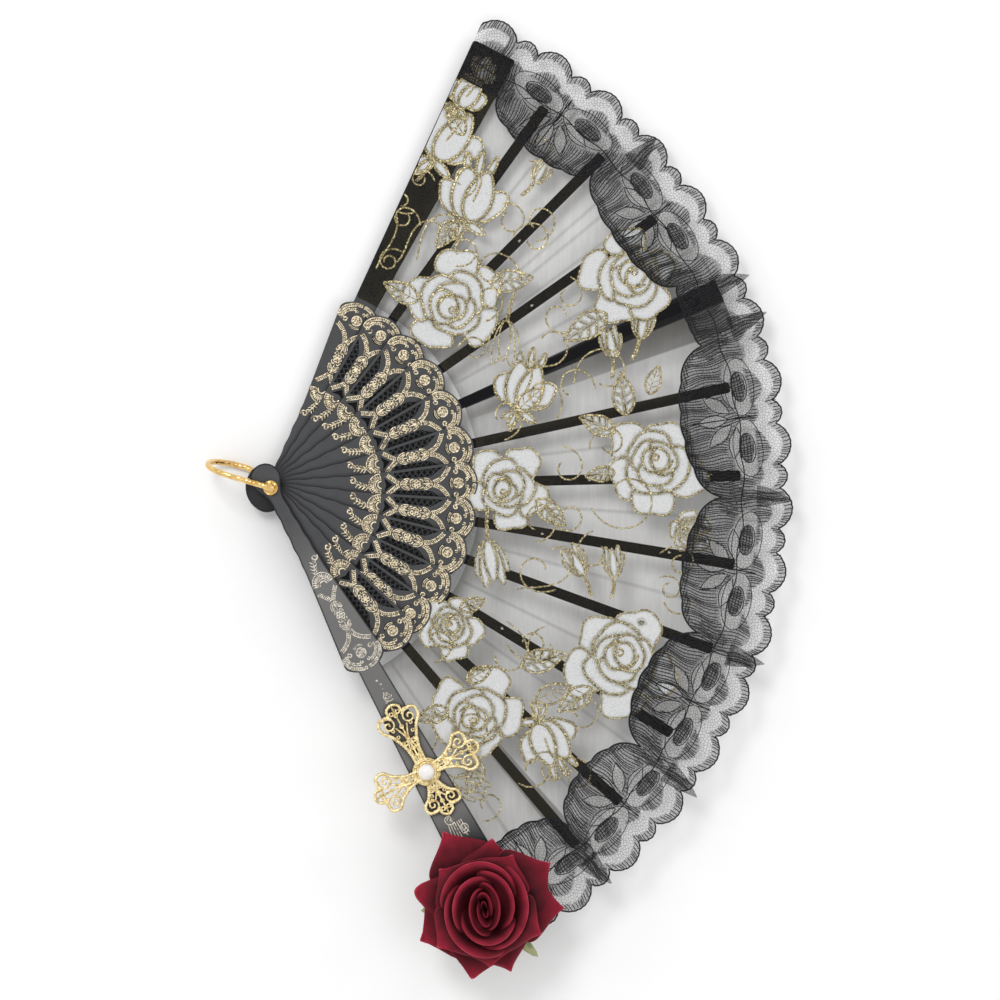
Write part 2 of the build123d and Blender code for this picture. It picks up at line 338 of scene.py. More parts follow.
class Finish:
    """A procedural material. Its methods add nodes, whose patterns lie in object space."""

    def __init__(self, name, colour, roughness, **sockets):
        self.made = bpy.data.materials.new(name)
        self.made.use_nodes = True
        self.shader = self.made.node_tree.nodes["Principled BSDF"]
        self.where = self.node("TexCoord").outputs["Object"]
        set_sockets(self.shader, {"Base Color": (*colour, 1), "Roughness": roughness, **sockets})

    def link(self, source, socket):
        self.made.node_tree.links.new(source, socket)

    def node(self, kind, source=None, **sockets):
        """A new node of a kind, whose first input may be fed from a source."""
        node = self.made.node_tree.nodes.new(f"ShaderNode{kind}")
        if source is not None:
            self.link(source, node.inputs[0])
        set_sockets(node, sockets)
        return node

    def feed(self, **sources):
        """Links sources to the shader's sockets."""
        for name, source in sources.items():
            self.link(source, self.shader.inputs[name.replace("_", " ")])

    def noise(self, scale, detail, stretch=None):
        source = self.where if stretch is None else self.node("Mapping", self.where, Scale=stretch).outputs[0]
        return self.node("TexNoise", source, Scale=scale, Detail=detail).outputs["Fac"]

    def cells(self, scale):
        return self.node("TexVoronoi", self.where, Scale=scale)

    def ramp(self, source, *stops):
        """Colours by the value of a source; each stop is (position, colour)."""
        node = self.node("ValToRGB", source)
        elements = node.color_ramp.elements
        for i, (position, colour) in enumerate(stops):
            element = elements[i] if i < 2 else elements.new(position)
            element.position = position
            element.color = (*colour, 1)
        return node.outputs["Color"]

    def span(self, source, low, high, start=0.3, end=0.7):
        """Maps a source from start..end to low..high."""
        node = self.node("MapRange", source, From_Min=start, From_Max=end, To_Min=low, To_Max=high)
        return node.outputs["Result"]

    def maths(self, operation, a, b):
        node = self.node("Math")
        node.operation = operation
        for socket, value in zip(node.inputs, (a, b)):
            if isinstance(value, float):
                socket.default_value = value
            else:
                self.link(value, socket)
        return node.outputs["Value"]

    def times(self, a, b):
        return self.maths("MULTIPLY", a, b)

    def inverse(self, a):
        return self.maths("SUBTRACT", 1.0, a)

    def over(self, a, b):
        """What two layers cover together, from what each covers."""
        return self.inverse(self.times(self.inverse(a), self.inverse(b)))

    def tone(self):
        """The tone on a mesh's points."""
        node = self.node("Attribute")
        node.attribute_name = "tone"
        return node.outputs["Fac"]

    def lowered_by_tone(self, source, share):
        """A source less a share of the tone, which is 1 along a drawing's edges; on the flock the tone is painted
        shade.
        """
        return self.maths("SUBTRACT", source, self.times(self.tone(), share))

    def closeness(self, distance, samples=4, inside=False):
        """Low near other surfaces, within a distance in mm, or with inside, near the piece's own edge."""
        node = self.node("AmbientOcclusion", Distance=distance * MM)
        node.samples = samples
        node.inside = node.only_local = inside
        return node.outputs["AO"]

    def bump(self, source, strength, distance):
        """Bumps up to a distance in mm."""
        node = self.node("Bump", Strength=strength, Distance=distance * MM)
        self.link(source, node.inputs["Height"])
        self.feed(Normal=node.outputs["Normal"])


# Colours of painted shade: beside the rose, and in hollows, along edges and under the leaf.
ROSE_SHADE_BLACK = (0.012, 0.012, 0.013)
PAINTED_SHADE_BLACK = (0.004, 0.004, 0.005, 1)
EDGE = 1.1  # width of the painted shade line inside the edge of the front guard
FACE = 0.02  # depth under a blade's top face from which its plastic has its full colour, without painted shade


def plastic(name, near, far, top, covered):
    """Moulded satin plastic with painted shade: black in hollows, beside raised edges, along the front guard's own
    edge, at the rose's radius and, if covered, under the leaf.
    """
    look = Finish(name, far, 0.34)
    height = look.node("SeparateXYZ", look.where).outputs["Z"]
    # painted shade in hollows: black from HOLLOW under the top face, full colour from FACE under it
    depth = look.span(height, 0, 1, (top - HOLLOW) * MM, (top - FACE) * MM)
    length = look.node("VectorMath", look.where)
    length.operation = "LENGTH"
    reach = length.outputs["Value"]
    # painted shade near other surfaces, from ambient occlusion
    lit = look.span(look.closeness(2.2), 0.15, 1, 0.42, 0.95)
    # painted shade along the front guard's own edge, from inside ambient occlusion
    if not covered:
        lit = look.times(lit, look.span(look.closeness(EDGE, 8, True), 0.0, 1, 0.66, 0.9))
    # less painted shade close to the pivot
    lit = look.maths("MAXIMUM", lit, look.span(reach, 0.8, 0, 0.009, 0.015))
    depth = look.times(depth, lit)
    # painted shade on the ribs under the leaf
    if covered:
        depth = look.times(depth, look.span(reach, 1, 0.25, LEAF[0] * MM, (LEAF[0] + 1) * MM))
    shade = look.node("Mix")
    shade.data_type = "RGBA"
    shade.inputs["A"].default_value = PAINTED_SHADE_BLACK
    look.link(depth, shade.inputs["Factor"])
    # colour along the blade, with painted shade at the rose's radius
    along = look.ramp(reach, (0.022, near), (0.05, far), (0.163, far), (0.178, ROSE_SHADE_BLACK))
    look.link(along, shade.inputs["B"])
    # the painted shade darkens the base colour and lowers the specular level
    look.feed(
        Base_Color=shade.outputs["Result"],
        Specular_IOR_Level=look.span(depth, 0.1, 0.5, 0.2, 0.9),
        Roughness=look.span(look.noise(260, 5), 0.26, 0.46),
    )
    look.bump(look.noise(2600, 2), 0.25, 0.08)
    return look.made


def gilding(name, bright, dull, worn):
    """Hot-stamped gilding, rubbed thin in specks."""
    look = Finish(name, bright, 0.4, Metallic=0.55)
    specks = look.noise(1100, 4)
    look.feed(
        Base_Color=look.ramp(specks, (0.36, worn), (0.46, dull), (0.62, bright)),
        Roughness=look.span(look.noise(1500, 2), 0.28, 0.5),
    )
    look.bump(specks, 0.4, 0.06)
    return look.made


def organza():
    """Sheer leaf cloth: mostly clear, with fine threads, faint cloudiness, darker stretches where it lies in two
    layers, and painted shade along its creases.
    """
    look = Finish("organza_cloth", (0.05, 0.048, 0.04), 0.75, Specular_IOR_Level=0.1)
    threads = look.noise(700, 2, (1, 0.12, 1))
    woven = look.maths("ADD", look.span(threads, 0.12, 0.2), look.span(look.noise(28, 3), -0.04, 0.05))
    # the tone darkens the cloth where it lies in two layers, and as painted shade along its creases
    doubling_and_crease_shade = look.tone()
    tint = look.ramp(doubling_and_crease_shade, (0.0, (0.07, 0.062, 0.04)), (0.9, (0.006, 0.006, 0.007)))
    look.feed(Alpha=look.over(woven, doubling_and_crease_shade), Base_Color=tint)
    look.bump(threads, 0.3, 0.08)
    return look.made


def flock():
    """White flocked print: soft short nap with a mottled density, and olive painted shade along its rims."""
    look = Finish("flock_print", (0.86, 0.86, 0.85), 0.95, Sheen_Weight=0.25)
    mottle = look.span(look.noise(1500, 3), 0.4, 0.62)
    # the tone lowers the mottle into olive painted shade along the rims
    shade = look.ramp(
        look.lowered_by_tone(mottle, 0.3),
        (0.1, (0.13, 0.115, 0.065)), (0.3, (0.38, 0.37, 0.32)),
        (0.44, (0.56, 0.57, 0.575)), (0.65, (0.7, 0.7, 0.68)),
    )
    look.feed(Base_Color=shade)
    look.bump(look.noise(2400, 2), 0.5, 0.12)
    return look.made


def glitter():
    """Glued glitter: bright and dark flakes that change from one to the next."""
    look = Finish("glitter_print", (0.5, 0.4, 0.2), 0.4, Metallic=0.5)
    flakes = look.node("SeparateColor", look.cells(2300).outputs["Color"]).outputs
    shade = look.ramp(
        look.lowered_by_tone(flakes["Red"], 0.35),
        (0.0, (0.1, 0.08, 0.035)), (0.3, (0.29, 0.235, 0.11)),
        (0.62, (0.5, 0.41, 0.2)), (0.9, (0.95, 0.87, 0.58)),
    )
    look.feed(Base_Color=shade, Alpha=look.span(look.lowered_by_tone(flakes["Blue"], 0.3), 0.25, 1, 0.02, 0.2))
    look.bump(flakes["Green"], 0.8, 0.15)
    return look.made


def lace_net():
    """Black bobbin net: a tulle ground of small cells, worked closer where the drawing of the lace says."""
    look = Finish("lace_net", (0.012, 0.012, 0.013), 0.85, Specular_IOR_Level=0.1)
    cells = look.cells(820)
    cells.voronoi_dimensions = "2D"
    cells.feature = "DISTANCE_TO_EDGE"
    ground = look.span(cells.outputs["Distance"], 0.55, 0.0, 0.04, 0.11)
    worked = look.times(look.tone(), look.span(look.noise(1500, 2), 0.75, 1.2))
    shade = look.ramp(look.noise(1200, 2), (0.3, (0.006, 0.006, 0.007)), (0.75, (0.03, 0.03, 0.032)))
    look.feed(Alpha=look.over(ground, worked), Base_Color=shade)
    return look.made


def lace_thread():
    """Twisted black thread with a dull sheen."""
    look = Finish("lace_thread", (0.01, 0.01, 0.011), 0.8, Specular_IOR_Level=0.12)
    twist = look.noise(2500, 2)
    look.feed(Base_Color=look.ramp(twist, (0.3, (0.004, 0.004, 0.005)), (0.75, (0.03, 0.03, 0.033))))
    look.bump(twist, 0.5, 0.1)
    return look.made


def velvet():
    """Deep red velvet: dark nap with a red sheen on its turned rims, with painted highlights on rims and tips and
    painted shade near other petals.
    """
    sheen = {"Sheen Weight": 0.45, "Sheen Roughness": 0.4, "Sheen Tint": (0.7, 0.06, 0.1, 1)}
    look = Finish("rose_velvet", (0.1, 0.002, 0.007), 0.75, Specular_IOR_Level=0.25, **sheen)
    # painted light: the tone brightens rims and tips, ambient occlusion paints shade near other petals; the noise
    # is the velvet's own variation
    pile_and_painted_light = look.maths("ADD", look.tone(), look.span(look.noise(160, 5), -0.1, 0.1))
    pile_and_painted_light = look.times(pile_and_painted_light, look.span(look.closeness(7), 0.15, 1, 0.3, 0.85))
    shade = look.ramp(
        pile_and_painted_light,
        (0.05, (0.02, 0.0, 0.002)), (0.38, (0.15, 0.003, 0.013)),
        (0.7, (0.34, 0.01, 0.035)), (1.0, (0.55, 0.07, 0.1)),
    )
    look.feed(Base_Color=shade)
    look.bump(look.noise(3000, 2), 0.4, 0.15)
    return look.made


def sepal_cloth():
    """Green sepals that turn pinkish along their veins."""
    look = Finish("sepal_cloth", (0.25, 0.33, 0.12), 0.7)
    veins = look.noise(240, 4, (1, 1, 0.4))
    shade = look.ramp(veins, (0.3, (0.16, 0.25, 0.09)), (0.55, (0.4, 0.46, 0.22)), (0.8, (0.62, 0.45, 0.33)))
    look.feed(Base_Color=shade)
    look.bump(veins, 0.4, 0.3)
    return look.made


def polished_gold():
    """Bright gold plate with hammered facets."""
    look = Finish("gold_plate", (0.9, 0.6, 0.2), 0.2, Metallic=1.0)
    tarnish = look.noise(220, 4)
    shade = look.ramp(tarnish, (0.3, (0.7, 0.4, 0.12)), (0.65, (0.95, 0.68, 0.28)))
    look.feed(Base_Color=shade, Roughness=look.span(tarnish, 0.14, 0.3))
    look.bump(look.cells(620).outputs["Distance"], 0.6, 0.5)
    return look.made


def wire_gold():
    """Gilt filigree wire, brighter where it is rubbed."""
    look = Finish("filigree_gold", (0.9, 0.74, 0.42), 0.36, Metallic=0.8)
    look.feed(Base_Color=look.ramp(look.noise(700, 3), (0.3, (0.56, 0.39, 0.15)), (0.58, (1.0, 0.86, 0.5))))
    look.bump(look.noise(2200, 2), 0.4, 0.1)
    return look.made


def nacre():
    """Pearl: clear coat over a faintly clouded, translucent white."""
    glow = {"Subsurface Weight": 0.15, "Subsurface Radius": (0.002, 0.0015, 0.001)}
    look = Finish("pearl_nacre", (0.9, 0.87, 0.83), 0.16, Coat_Weight=0.8, Coat_Roughness=0.08, **glow)
    cloud = look.noise(180, 3)
    shade = look.ramp(cloud, (0.3, (0.86, 0.8, 0.76)), (0.55, (0.93, 0.91, 0.87)), (0.75, (0.84, 0.87, 0.9)))
    look.feed(Base_Color=shade)
    look.bump(cloud, 0.1, 0.2)
    return look.made


def brushed_steel():
    """Steel of the pin, brushed along its length."""
    look = Finish("pin_steel", (0.55, 0.55, 0.56), 0.3, Metallic=1.0)
    brush = look.noise(500, 3, (1, 1, 0.05))
    look.feed(Roughness=look.span(brush, 0.22, 0.42))
    look.bump(brush, 0.3, 0.1)
    return look.made


gilt = gilding("stick_gilding", (0.9, 0.79, 0.56), (0.56, 0.46, 0.3), (0.08, 0.065, 0.045))
pale_gilt = gilding("guard_gilding", (0.8, 0.74, 0.63), (0.5, 0.46, 0.39), (0.2, 0.18, 0.16))
cloth = organza()
white = flock()
gold = glitter()
net = lace_net()
thread = lace_thread()
red = velvet()
green = sepal_cloth()
plate = polished_gold()
wire = wire_gold()
pearl_skin = nacre()
steel = brushed_steel()

finishes = {"pivot_pin": steel, "pearl": pearl_skin, "rose_calyx": green}
for blade in blades:
    front = blade == "front_guard"
    far = (0.135, 0.132, 0.13) if front else (0.038, 0.039, 0.041)
    finishes[blade] = plastic(f"plastic_{blade}", (0.045, 0.046, 0.05), far, high_mm(blade), not front)
for name, node in frame["nodes"].items():
    node.data.materials.clear()
    node.data.materials.append(finishes.get(name, plate))


# ------------------------------------------------------- gilding on the blades
GILT_LIFT = 0.02  # height of the gilding's edges above a blade


def blade_ornament():
    """The moulded and gilded relief of one blade: x runs out along the blade."""
    art = Drawing()
    fine, bold = 0.38, 0.6

    def stroke(line, width=fine, closed=False):
        art.ribbon(line, width, GILT_LIFT, 0.08, closed)

    def both(line, width=fine, closed=False):
        line = np.asarray(line, float)
        stroke(line, width, closed)
        stroke(line * (1, -1), width, closed)

    def ring(centre, radius, width=fine):
        stroke(arc(centre, radius, 0, 345, 0.5), width, True)

    def band(corners, width, pitch=0.78):
        """Two edge lines and the slanting leaf strokes between them."""
        line = smooth(corners, 0.4)
        along = np.gradient(line, axis=0)
        along /= np.hypot(*along.T)[:, None]
        side = np.column_stack((-along[:, 1], along[:, 0])) * width / 2
        both(line + side)
        both(line - side)
        for i in range(1, len(line) - 1, max(1, round(pitch / 0.4))):
            spot, across, ahead = line[i], 0.8 * side[i], along[i]
            both([spot + across, spot + 0.15 * ahead, spot - across + 0.4 * ahead], 0.5)

    # curl on the neck, and the leaf sprigs that lead to the half rosette
    stroke(arc((35.6, 2.1), (0.4, 1.55), 60, 480, 0.4), bold)
    stroke(smooth([(36.6, 0.9), (38.4, 0.3), (41.0, -0.7), (43.4, -1.7)], 0.5), fine)
    for u, v in ((38.0, 0.4), (39.4, 0.0), (40.8, -0.6), (42.0, -1.1)):
        stroke([(u, v), (u - 0.2, v + 0.9), (u - 0.9, v + 1.7)], bold)
        stroke([(u, v), (u - 0.5, v - 0.7), (u - 1.3, v - 1.3)], bold)

    # half rosette, open outwards
    for share, width in ((1.0, fine), (0.52, fine), (0.34, bold)):
        line = arc((0, 0), share, 98, 262, 0.06) * (6.0, 4.9) + (48.6, 0)
        stroke(line, width)
    for angle in range(102, 262, 12):
        a = math.radians(angle)
        ray = np.array([(math.cos(a) * r * 6.0 + 48.6, math.sin(a) * r * 4.9) for r in (0.58, 0.76, 0.94)])
        stroke(ray, 0.72)

    band([(50.6, 4.3), (52.6, 2.7), (54.6, 1.2), (55.9, 0.5)], 1.4)

    # chain: leaf pair, flower, leaf pair
    for centre, tilt in ((58.4, 1), (68.6, -1)):
        outline = [(centre + u * tilt, v) for u, v in ((-1.9, 0.2), (-0.4, 2.0), (1.9, 2.4), (0.4, 0.6))]
        both(smooth(outline, 0.5, True), fine, True)
        both([(centre + u * tilt, v) for u, v in ((-1.2, 0.6), (0.2, 1.3), (1.2, 1.9))], bold)
    for petal in range(6):
        angle = math.radians(60 * petal + 30)
        ring((63.4 + 1.3 * math.cos(angle), 1.3 * math.sin(angle)), 0.62, 0.5)
    ring((63.4, 0), 0.4, bold)
    stroke([(56.6, 0), (58.6, 0), (61.2, 0)], bold)
    stroke([(65.8, 0), (68.2, 0), (70.4, 0)], bold)
    both(smooth([(61.2, 0.5), (60.6, 1.2), (61.4, 1.9), (62.2, 2.1)], 0.4), 0.5)
    both(smooth([(65.6, 0.5), (66.4, 1.2), (65.6, 1.9), (64.8, 2.1)], 0.4), 0.5)

    band([(70.8, 0.5), (73.4, 1.5), (75.4, 3.2), (76.9, 5.4), (77.8, 7.4)], 1.55)

    # rosette in a crescent, C-scrolls either side, and the arch along the head
    for radius in (3.7, 3.1):
        stroke(arc((81.9, 0), radius, 138, 222, 0.5), 0.28)
    ring((81.9, 0), 2.05, bold)
    for petal in range(6):
        angle = math.radians(60 * petal)
        ring((81.9 + 1.15 * math.cos(angle), 1.15 * math.sin(angle)), 0.42, 0.4)
    ring((81.9, 0), 0.35, bold)
    both(arc((80.9, 5.0), (0.3, 1.1), 500, 130, 0.4), 0.5)
    band([(80.2, 6.3), (82.2, 6.7), (84.2, 5.9), (85.7, 4.0), (86.4, 2.2)], 1.0)
    both(arc((85.6, 1.5), (0.25, 0.8), 200, 520, 0.35), 0.45)
    band([(80.4, 8.1), (82.8, 8.4), (85.2, 7.4), (87.2, 5.3), (88.5, 2.6), (88.8, 0.4)], 1.15)
    return art


def guard_swirls():
    """Loose pale swirls and dots on the guard's upper strip."""
    art = Drawing()
    for u, v, flip in ((104, 1.0, 1), (164, -1.5, 1), (170, 2.5, -1), (175, -2.0, 1)):
        for start, sweep, size in ((0, 400, 2.6), (150, 300, 1.7)):
            line = arc((u, v), (0.5, size), start, start + sweep * flip, 0.5)
            art.ribbon(line, 0.45, GILT_LIFT)
    for turn in range(7):
        line = [(166, -3 + turn), (169 + turn % 3, -3.4 + 1.1 * turn), (173 + turn % 2, -4 + 1.3 * turn)]
        art.ribbon(smooth(line, 0.6), 0.4, GILT_LIFT)
    for step in range(9):
        art.ribbon(arc((96 + 2.1 * step, 0.9 * math.sin(step)), 0.35, 0, 320, 0.3), 0.3, GILT_LIFT)
    return art


def gild(art, label, index, finish):
    """A piece of gilding with a drawing's shape, on the front face of a blade."""
    x, y, lift, tone = np.array(art.points).T
    points = np.column_stack((*turned(x, y, spokes[index]), lift + high_mm(blades[index]), tone))
    piece = add_piece(f"{label}_{blades[index]}", points, art.faces, finish)
    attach(piece, blades[index])


ornament = blade_ornament()
for index in range(last + 1):
    gild(ornament, "gilding", index, pale_gilt if index == last else gilt)
gild(guard_swirls(), "swirls", last, pale_gilt)


# ------------------------------------------------------------ print on the leaf
flock_art, gold_art = Drawing(), Drawing()
LINE = 1.2  # width of a gold outline
HAIR = 0.85  # width of a tendril or a vein
STALK = 0.9  # distance between a stalk's two lines


def lobe(distance, deep, wide, wave=0.0, phase=0.0, heading=0.0, count=32):
    """A rounded petal that stands a distance out from the flower's middle."""
    t = np.linspace(0, 2 * math.pi, count, endpoint=False)
    swell = 1 + wave * np.cos(3 * t + phase) + 0.5 * wave * np.cos(5 * t - phase)
    line = np.column_stack((distance + deep * swell * np.cos(t), wide * swell * np.sin(t)))
    return place(line, (0, 0), heading)


def blade_petal(length, width, heading=0.0, bend=0.0, base=(0.0, 0.0)):
    """A pointed petal that starts at its base."""
    t = np.linspace(0, 2 * math.pi, 28, endpoint=False)
    x = length * (1 - np.cos(t)) / 2
    y = width / 2 * np.sin(t) * (1 - 0.35 * (x / length) ** 2) + bend * (x / length) ** 2 * length
    return place(np.column_stack((x, y)), (0, 0), heading) + base


PETALS = []  # for every petal from the lowest up: outline, whether it is flocked, and its gold line's width


def draw_motif(at, heading, petals, lines=(), filled=True, outline=LINE):
    """Adds petals over those that are there already, and gold lines on top."""
    PETALS.extend((place(petal, at, heading), filled, outline) for petal in petals)
    for line in lines:
        gold_art.ribbon(place(line, at, heading), HAIR + 0.1, GOLD_LIFT + 0.01)


def print_petals():
    """Flocks each petal where no later one lies over it, and outlines what shows of it in gold."""
    centres = np.array([petal.mean(0) for petal, _, _ in PETALS])
    reach = np.array([np.hypot(*(petal - middle).T).max() for (petal, _, _), middle in zip(PETALS, centres)])
    for order, (petal, filled, outline) in enumerate(PETALS):
        close = np.hypot(*(centres - centres[order]).T) < reach + reach[order] + 1
        covers = [PETALS[i][0] for i in range(order + 1, len(PETALS)) if close[i]]
        if filled:
            flock_art.fill(petal, FLOCK_LIFT, covers)
        line = even(np.vstack((petal, petal[:1])), 0.9)
        shown = np.ones(len(line), bool)
        for upper in covers:
            shown &= ~inside(line, upper)
        for first, final in runs(shown) if outline > 0 else ():
            gold_art.ribbon(line[first:final], outline, GOLD_LIFT)


def runs(mask):
    """Start and end of each unbroken run of true values."""
    edge = np.flatnonzero(np.diff(np.concatenate(([0], mask.astype(int), [0]))))
    return list(zip(edge[::2], edge[1::2]))


def rose(at, heading, size, seed):
    """An open rose from above: loose outer petals round a tight whorl that stands off the middle."""
    rng = random.Random(seed)
    petals = []
    rings = (
        (5, 0.66, 0.36, 0.43, 0.1), (3, 0.27, 0.38, 0.46, 0.06),
        (3, 0.17, 0.28, 0.34, 0.05), (2, 0.09, 0.18, 0.22, 0.03),
    )
    for level, (count, distance, deep, wide, wave) in enumerate(rings):
        drift = np.array((0.035, 0.02)) * level * size
        for i in range(count):
            turn = 360 / count * i + 43 * level + rng.uniform(-10, 10)
            far = distance * size * rng.uniform(0.9, 1.12)
            petal = lobe(far, deep * size * rng.uniform(0.92, 1.1), wide * size, wave, rng.uniform(0, 6), turn)
            petals.append(petal + drift)
    heart = (0.15 * size, 0.085 * size)
    whorl = arc(heart, (0.02 * size, 0.1 * size), 0, 540, 0.6)
    folds = [arc(heart, (r * size, (r + 0.05) * size), a, a + 95, 0.8) for r, a in ((0.2, 20), (0.3, 200))]
    draw_motif(at, heading, petals, [whorl, *folds], True, 0.85)


def bloom(at, heading, size, spiky):
    """A plump closed bloom seen from the side, from its base outwards; spiky ones have sepals at the tip."""
    rng = random.Random(size)
    petals = [blade_petal(size * 0.34, size * 0.14, turn, 0, (-1, 0)) for turn in (118, -112, 152)]
    for turn, reach in ((14, 0.33), (0, 0.4), (-14, 0.36)) if spiky else ():
        petals.append(blade_petal(size * reach, size * 0.12, turn, 0, (size * 0.72, size * turn * 0.011)))
    for side in (1, -1):
        petals.append(lobe(size * 0.42, size * 0.31, size * 0.2, 0.06, rng.uniform(0, 6), 44 * side))
    petals.append(blade_petal(size * 0.84, size * 0.5, 14, -0.05, (0, size * 0.02)))
    petals.append(blade_petal(size * 0.82, size * 0.46, -13, 0.05, (0, -size * 0.02)))
    rib = smooth([(size * 0.3, -size * 0.02), (size * 0.55, -size * 0.07), (size * 0.72, -size * 0.06)], 0.9)
    stalk = smooth([(0, 0), (-size * 0.22, 0.6), (-size * 0.42, 2.2)], 0.9)
    draw_motif(at, heading, petals, [rib, stalk, stalk + (0.0, STALK)])


def bud(at, heading, length, filled):
    """A slim bud of narrow petals on a stalk."""
    petals = []
    for turn, share in ((30, 0.75), (-30, 0.75), (14, 0.95), (-14, 0.95), (0, 0.85)):
        petals.append(blade_petal(length * share, length * 0.26, turn, -0.003 * turn))
    stalk = smooth([(0, 0), (-length * 0.3, 0.5), (-length * 0.6, 2.0)], 0.9)
    draw_motif(at, heading, petals, [stalk, stalk + (0.0, STALK)], filled, 0.7)


def leaf(at, heading, length, filled=True):
    """A leaf whose flocking is parted by its middle vein and by slanting side veins."""

    def half(share):
        return length / 4 * math.sin(math.pi * min(max(share, 0), 1) ** 0.75)

    slant = 0.13
    cuts = (0.04, 0.24, 0.42, 0.6, 0.97)
    veins = [smooth([(0, 0), (length * 0.5, 0.3), (length * 0.86, 0.2)], 0.9)]
    for side in (1, -1):
        for a, b in zip(cuts[:-1], cuts[1:]):
            start = a if a == cuts[0] else a + slant
            end = b if b == cuts[-1] else b + slant
            rim = [(length * share, side * half(share)) for share in np.linspace(start, end, 5)]
            part = [(length * a, side * 0.2), *rim, (length * min(b, 0.92), side * 0.2)]
            part = even(np.array(part + part[:1]), 0.9)[:-1]
            middle = part.mean(0)
            part = middle + (part - middle) * (1 - 0.5 / max(4.0, 0.2 * length))
            if filled:
                PETALS.append((place(part, at, heading), True, 0.0))
            if b < cuts[-1]:
                vein = [(length * b, side * 0.2), (length * (b + 0.12), side * half(b + slant) * 0.8)]
                veins.append(even(vein, 0.9))
    rim = [(length * share, half(share)) for share in np.linspace(0, 1, 16)]
    rim += [(x, -y) for x, y in rim[-2:0:-1]]
    gold_art.ribbon(place(smooth(rim, 0.9, True), at, heading), LINE, GOLD_LIFT, closed=True)
    for line in veins:
        gold_art.ribbon(place(line, at, heading), 0.5, GOLD_LIFT + 0.01)


def tendril(at, heading, length, bend, curl):
    """A thin line whose bend, in degrees per mm, runs evenly from bend to curl."""
    steps = max(4, int(length))
    s = np.linspace(0, length, steps)
    angle = math.radians(1) * (heading + bend * s + (curl - bend) * s**2 / (2 * length))
    stride = length / (steps - 1)
    x = np.concatenate(([0], np.cumsum(np.cos(angle[:-1]) * stride)))
    y = np.concatenate(([0], np.cumsum(np.sin(angle[:-1]) * stride)))
    gold_art.ribbon(place(np.column_stack((x, y)), at, 0), HAIR, GOLD_LIFT)


# Every place below is (degrees from the fan's x axis, mm from the pivot).
# Leaves: place of the stalk, heading and length.
for at, heading, length in (
    ((61.5, 176), 120, 14), ((55.4, 142), 234, 15), ((43.0, 131), 8, 19), ((52.0, 104), 152, 17),
    ((27.4, 165), 212, 22), ((17.6, 113), 40, 15), ((11.6, 158), 96, 19), ((9.2, 152), 156, 17),
    ((2.6, 150), 188, 13), ((-2.6, 116), -42, 17), ((-32.0, 165), 214, 18), ((-35.4, 134), 15, 20),
    ((-44.6, 120), 30, 13), ((-51.4, 124), 196, 15), ((-32.6, 98), 20, 12), ((-52.6, 150), 250, 15),
):
    leaf(at, heading, length)
for at, heading, length in (((-38.6, 148), 20, 17), ((14.0, 170), 70, 13)):
    leaf(at, heading, length, False)

# Closed blooms: place of the base, heading, size, and whether they are spiky.
for at, heading, size, spiky in (
    ((63.6, 161), 62, 30, False), ((53.8, 145), 77, 28, True), ((17.4, 114), 78, 25, True),
    ((-41.4, 155), -60, 24, True), ((63.8, 186), 60, 17, False), ((63.6, 201), 40, 12, False),
):
    bloom(at, heading, size, spiky)

# Buds: place of the base, heading, length, and whether they are flocked.
for at, heading, length, filled in (
    ((22.0, 174), 82, 16, True), ((20.8, 160), 100, 15, True), ((49.2, 176), 60, 13, True),
    ((-14.6, 155), 96, 15, True), ((-15.6, 142), 122, 16, True), ((-13.6, 97), -80, 22, True),
    ((35.4, 126), 264, 21, False), ((-58.0, 150), -20, 18, False),
):
    bud(at, heading, length, filled)

# Open roses: place, heading and size.
for number, (at, heading, size) in enumerate((
    ((45.8, 114), 235, 22), ((30.4, 181), 20, 21), ((3.2, 168), 60, 22), ((0.3, 103.5), 200, 18),
    ((-26.6, 170), 60, 24), ((-47.6, 133), 215, 20), ((-38.4, 99.5), 60, 14), ((-6.0, 184), 100, 9.5),
)):
    rose(at, heading, size, 40 + number)

# Specks of glue on the ribs.
speck = lobe(0, 0.7, 0.5, 0.2, count=10)
for at in (
    (44.9, 153), (35.0, 139), (1.4, 139), (1.7, 192), (-9.2, 176), (-20.0, 172), (-31.3, 118), (-9.6, 120),
):
    PETALS.append((place(speck, at, at[0]), True, 0.0))
print_petals()

